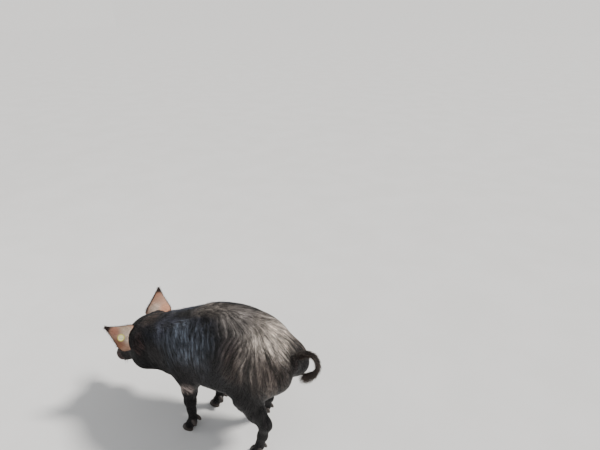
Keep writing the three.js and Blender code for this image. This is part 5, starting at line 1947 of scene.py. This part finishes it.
def ear_colours(n, place, nearly):
    """The ears: pinkish tan with pale and tan patches and pores, and dark rims and tips."""
    tan = linear(*EAR_TAN)
    for centre, reach, shade, strength in EAR_PATCHES:
        tan = n.mix(patch_mask(n, nearly, centre, reach, strength), tan, linear(*shade))
    pores = n.ramp(n.noise(place, 420, 3, 0.65), 0.52, 0.68, 0.0, 0.6)
    tan = n.mix(pores, tan, linear(*EAR_PORE))
    far = n.plus(n.attribute("ear"), n.times(n.noise(place, 40, 2), 0.16))
    dark = n.math("MAXIMUM", n.ramp(far, 0.79, 0.94), n.attribute("rim"))
    return n.mix(dark, tan, linear(*EAR_DARK))


def colour_group():
    """The pig's colours by place, shared by the skin and the coat."""
    tree = bpy.data.node_groups.new("pig_colour", "ShaderNodeTree")
    tree.interface.new_socket("Colour", in_out="OUTPUT", socket_type="NodeSocketColor")
    n = Nodes(tree)
    place = n.place()
    # the edges of the body's patches, painted light among them, wander by up to some 40 mm, those of the
    # ears' patches by 6
    off = n.vector("SUBTRACT", n.noise(place, 9, 3, output="Color"), (0.5, 0.5, 0.5))
    moved = n.vector("ADD", place, n.vector("SCALE", off, scale=0.08))
    nearly = n.vector("ADD", place, n.vector("SCALE", off, scale=0.012))
    mottling = n.ramp(n.noise(place, 38, 4, 0.6), 0.3, 0.72, 0.74, 1.2)
    body = n.vector("SCALE", marks_and_painted_light(n, moved), scale=mottling)
    on_ear = n.ramp(n.attribute("ear"), 0.0, 0.03)
    end = n.add("NodeGroupOutput")
    n.feed(end.inputs[0], n.mix(on_ear, body, ear_colours(n, place, nearly)))
    return tree


def material(name, build):
    """A material whose Principled shader is fed by a look."""
    made = bpy.data.materials.new(name)
    made.use_nodes = True
    n = Nodes(made.node_tree)
    build(n, made.node_tree.nodes["Principled BSDF"])
    return made


PIG_COLOUR = colour_group()


def pig_colour(n):
    return n.add("ShaderNodeGroup", node_tree=PIG_COLOUR).outputs[0]


def skin_look(n, shader):
    """Skin with short hairs drawn along the lie, darker between the locks, and a bare, creased nose."""
    place, nose = n.place(), n.attribute("nose")
    way = n.attribute("lie", "Vector")
    along = n.vector("SCALE", way, scale=n.times(n.vector("DOT_PRODUCT", place, way), 0.94))
    drawn_out = n.vector("SUBTRACT", place, along)
    hairs, clumps = n.noise(drawn_out, 900, 2, 0.6), n.noise(drawn_out, 130, 3, 0.6)
    pores = n.noise(place, 420, 3, 0.6)
    on_ear = n.ramp(n.attribute("ear"), 0.0, 0.05)
    streak = n.times(n.ramp(hairs, 0.3, 0.7, 0.5, 1.0), n.ramp(clumps, 0.35, 0.68, 0.35, 1.3))
    streak = n.plus(n.times(streak, n.minus(1.0, on_ear)), n.times(on_ear, 0.95))
    nose_tint = n.mix(n.ramp(n.noise(place, 90, 3), 0.35, 0.7), linear(58, 48, 47), linear(84, 68, 65))
    creases = n.noise(n.vector("MULTIPLY", place, (1, 0.45, 1)), 260, 4, 0.7)
    grain = n.plus(pores, n.times(n.times(creases, nose), 1.6))
    n.fill(shader, {
        "Base Color": n.mix(nose, n.vector("SCALE", pig_colour(n), scale=streak), nose_tint),
        "Roughness": n.minus(n.ramp(pores, 0.3, 0.7, 0.5, 0.66), n.times(nose, 0.18)),
        "Normal": n.bump(grain, 0.4, 0.0007, n.bump(hairs, 0.5, 0.0008)),
        "Specular IOR Level": 0.2,
    })


def coat_look(n, shader):
    """Hair in the pig's colours, from near black to pale by its tuft's shade, and paler to its tip: the tips
    partly lighter hair, the darker roots partly painted shade.
    """
    shade = n.attribute("shade")
    on_ear = n.ramp(n.attribute("ear"), 0.0, 0.05)
    low = n.plus(0.14, n.times(on_ear, 0.5))
    # the palest tufts reach up to three times the colour of their place: painted sheen and glints
    high = n.minus(3.0, n.times(on_ear, 1.1))
    level = n.plus(low, n.times(n.math("POWER", shade, 1.6), n.minus(high, low)))
    # darker at the root and paler to the tip: partly the hair's own colour, partly painted shade where the
    # tufts cover each other
    level = n.times(level, n.ramp(n.attribute("tip"), 0, 1, 0.6, 1.2))
    n.fill(shader, {
        "Base Color": n.vector("SCALE", pig_colour(n), scale=level),
        "Roughness": n.ramp(shade, 0, 1, 0.3, 0.44, smooth=False),
        "Specular IOR Level": 0.32,
    })


def horn_look(n, shader):
    """Dark, streaked horn with faint growth rings, paler to the top and dusty at the floor."""
    place = n.place()
    streaks = n.noise(n.vector("MULTIPLY", place, (1, 1, 0.12)), 420, 3, 0.6)
    rings = n.noise(n.vector("MULTIPLY", place, (0.25, 0.25, 1)), 520, 2)
    parts = n.add("ShaderNodeSeparateXYZ")
    n.feed(parts.inputs[0], place)
    height = parts.outputs[2]
    base = n.mix(n.ramp(streaks, 0.35, 0.68), linear(26, 23, 23), linear(56, 49, 45))
    pale = n.mix(n.ramp(height, 0.016, 0.03, 0, 0.4), base, linear(70, 60, 54))
    dust = n.ramp(n.plus(height, n.times(n.noise(place, 160, 3), 0.012)), 0.016, 0.004, 0, 0.55)
    n.fill(shader, {
        "Base Color": n.mix(dust, pale, linear(92, 82, 70)),
        "Roughness": n.ramp(streaks, 0.3, 0.7, 0.42, 0.62),
        "Normal": n.bump(rings, 0.5, 0.0006, n.bump(streaks, 0.4, 0.0004)),
    })


def eye_look(side):
    """The look of one eye: pupil, iris with its dark ring, and white, by the angle from its front."""
    def build(n, shader):
        place = n.place()
        ray = n.vector("NORMALIZE", n.vector("SUBTRACT", place, metres(eye_centre(side))))
        front = n.vector("DOT_PRODUCT", ray, tuple(eye_axes(side).along))
        iris = n.mix(n.ramp(n.noise(ray, 26, 4, 0.7), 0.35, 0.65), linear(25, 15, 11), linear(54, 35, 23))
        iris = n.mix(n.ramp(front, 0.80, 0.74), iris, linear(20, 12, 9))
        white = n.mix(n.ramp(n.noise(place, 500, 3), 0.4, 0.7), linear(150, 128, 112), linear(110, 76, 66))
        colour = n.mix(n.ramp(front, 0.735, 0.70), iris, white)
        n.fill(shader, {
            "Base Color": n.mix(n.ramp(front, 0.935, 0.95), colour, linear(4, 4, 5)),
            "Roughness": n.ramp(n.noise(place, 900, 2), 0.3, 0.7, 0.06, 0.12),
            "Normal": n.bump(n.noise(place, 700, 2), 0.05, 0.0003),
            "Specular IOR Level": 0.16,
        })
    return build


def tag_look(n, shader):
    """Worn plastic: a pale face with a few specks of dirt, in a yellow rim."""
    place = n.place()
    axes = tag_axes()
    off = n.vector("SUBTRACT", place, metres(axes.origin))
    out = n.vector("DOT_PRODUCT", off, tuple(axes.along))
    radius = n.vector("LENGTH", n.vector("SUBTRACT", off, n.vector("SCALE", tuple(axes.along), scale=out)))
    wear = n.noise(place, 240, 4, 0.65)
    face = n.mix(n.ramp(wear, 0.35, 0.7), linear(240, 233, 190), linear(222, 210, 150))
    base = n.mix(n.ramp(radius, 0.0098, 0.0112), face, linear(196, 188, 84))
    specks = n.times(n.ramp(n.noise(place, 330, 2, 0.5), 0.56, 0.6), n.ramp(radius, 0.0095, 0.008))
    n.fill(shader, {
        "Base Color": n.mix(n.times(specks, 0.8), base, linear(66, 60, 38)),
        "Roughness": n.ramp(wear, 0.3, 0.7, 0.34, 0.56),
        "Normal": n.bump(n.noise(place, 1500, 3), 0.25, 0.0003),
        "Subsurface Weight": 0.08,
    })


def whisker_look(n, shader):
    """Dark hair, lighter to its tip."""
    n.fill(shader, {
        "Base Color": n.mix(n.times(n.attribute("tip"), 0.6), linear(30, 24, 23), linear(96, 80, 68)),
        "Roughness": n.ramp(n.attribute("shade"), 0, 1, 0.35, 0.5),
    })


def floor_look(n, shader):
    """A pale, matt studio floor with faint clouds."""
    place = n.place()
    clouds = n.ramp(n.noise(place, 3, 3), 0.3, 0.7)
    n.fill(shader, {
        "Base Color": n.mix(clouds, (0.79, 0.78, 0.76, 1), (0.82, 0.81, 0.795, 1)),
        "Roughness": n.ramp(n.noise(place, 60, 3), 0.3, 0.7, 0.72, 0.86),
    })


def dressed(made, look, nodes=()):
    """A finished piece: its material, its body and the nodes that it stands for."""
    made.data.materials.clear()
    made.data.materials.append(look)
    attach(made, "root")
    if nodes:
        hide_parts(*nodes)
    return made


# ---------------------------------------------------------------- the pieces

FLESH = ["torso", "neck", "head", "snout", "ear_left", "ear_right", "tail"]
for part in ("upper_foreleg", "lower_foreleg", "thigh", "shank"):
    FLESH += [f"{part}_{side}" for side in SIDES]

skin_ear, skin_rim, _ = appendages(skin_points)
set_float(skin, "ear", skin_ear)
set_float(skin, "rim", skin_rim)
set_float(skin, "nose", smoothstep(225, 238, head_axes.local(skin_points)[:, 0]))
set_vector(skin, "lie", unit(flattened(lie_at(skin_points), skin_normals)))
dressed(skin, material("pig_skin", skin_look), FLESH)

horn = material("hoof_horn", horn_look)
for name, leg in LEGS.items():
    foot = foot_of(leg)
    for k in (-1, 1):
        which = "outer" if k == leg["side"] else "inner"
        claw = new_object(f"hoof_{which}_{name}", *claw_mesh(foot + [0, k * DIGIT_SPREAD, 0], -k))
        dressed(claw, horn, [f"{which}_claw_{name}"])
        dew = new_object(f"dewhoof_{which}_{name}", *dewclaw_mesh(foot, k))
        dressed(dew, horn, [f"{which}_dewclaw_{name}"])
for name, side in SIDES.items():
    ball = new_object(f"eyeball_{name}", *eye_mesh(side))
    dressed(ball, material(f"eye_{name}_look", eye_look(side)), [f"eye_{name}"])
dressed(new_object("tag_round", *tag_mesh()), material("tag_plastic", tag_look), ["ear_tag"])

fur = coat()
atlas = Atlas(fur["place"], fur["normal"], part_number(fur["place"], fur["ear"], fur["tail"]))
fur_look = material("pig_coat", coat_look)
order = np.argsort(fur["place"][:, 0], kind="stable")
pieces = math.ceil(len(order) * FACES_A_TUFT / FACES_A_PIECE)
for n, rows in enumerate(np.array_split(order, pieces)):
    piece = coat_piece(f"coat_{n + 1:02d}", fur, rows, atlas)
    dressed(piece, fur_look)
whisker_coat = material("pig_whiskers", whisker_look)
for name, hairs, look in (
    ("coat_tail", tail_hair(), whisker_coat),
    ("coat_spine", spine_hair(), fur_look),
    ("coat_ears", ear_fringe(), whisker_coat),
    ("coat_whiskers", whiskers(), whisker_coat),
    ("coat_coronets", coronet_fringe(), whisker_coat),
):
    dressed(coat_piece(name, hairs, np.arange(len(hairs["place"])), atlas), look)


# ---------------------------------------------------------------- floor, light and camera

# The photo's camera: its focal length and width in pixels, its place (mm) and the way it looks
FOCAL_PIXELS, PHOTO_WIDTH, SENSOR_WIDTH = 471, 600, 36
CAMERA_PLACE = (865.85, -1144.87, 1530)
CAMERA_WAY = (-0.38302, 0.82139, -0.42262)
# Soft lamps: place, target, size, power and colour
LAMPS = {
    "fill": ((0.4, -2.8, 2.2), (0, 0, 0.25), 2.6, 16, (0.93, 0.96, 1.0)),
    "side": ((-2.6, -0.8, 1.7), (0, 0, 0.3), 2.0, 12, (1, 1, 1)),
}


def floor():
    """A level floor of 60 m that rises gently to its far edges, so that it fills the view."""
    flat, far, rise = 30, 400, 12
    corners = [(-1, -1), (1, -1), (1, 1), (-1, 1)]
    points = [(flat * x, flat * y, 0) for x, y in corners] + [(far * x, far * y, rise) for x, y in corners]
    faces = [(0, 1, 2, 3)] + [(n + 4, (n + 1) % 4 + 4, (n + 1) % 4, n) for n in range(4)]
    mesh = bpy.data.meshes.new("floor")
    mesh.from_pydata(points, [], faces)
    mesh.materials.append(material("floor_look", floor_look))
    placed("floor", mesh)


def light(kind, name, place, target, power, colour):
    """A light that is turned to its target."""
    data = bpy.data.lights.new(name, kind)
    data.energy = power
    data.color = colour
    made = placed(name, data)
    made.location = place
    made.rotation_euler = (Vector(target) - Vector(place)).to_track_quat("-Z", "Y").to_euler()
    return data


def lights():
    """A broad, even sun from high behind the pig's right side, two soft lamps and a pale sky."""
    key = light("SUN", "key", (1.9, 1.3, 2.6), (0, 0, 0), 4.4, (1.0, 0.975, 0.94))
    key.angle = math.radians(10)
    for name, (place, target, size, power, colour) in LAMPS.items():
        lamp = light("AREA", name, place, target, power, colour)
        lamp.shape = "DISK"
        lamp.size = size
    sky = bpy.data.worlds.new("studio")
    sky.use_nodes = True
    background = sky.node_tree.nodes["Background"]
    background.inputs[0].default_value = (0.93, 0.95, 0.98, 1)
    background.inputs[1].default_value = 0.46
    bpy.context.scene.world = sky


def camera():
    """The photo's camera."""
    data = bpy.data.cameras.new("camera")
    data.sensor_width = SENSOR_WIDTH
    data.lens = FOCAL_PIXELS / PHOTO_WIDTH * SENSOR_WIDTH
    data.clip_start = 0.05
    data.clip_end = 600
    made = placed("camera", data)
    made.location = metres(CAMERA_PLACE)
    made.rotation_euler = Vector(CAMERA_WAY).to_track_quat("-Z", "Y").to_euler()
    bpy.context.scene.camera = made


floor()
lights()
camera()
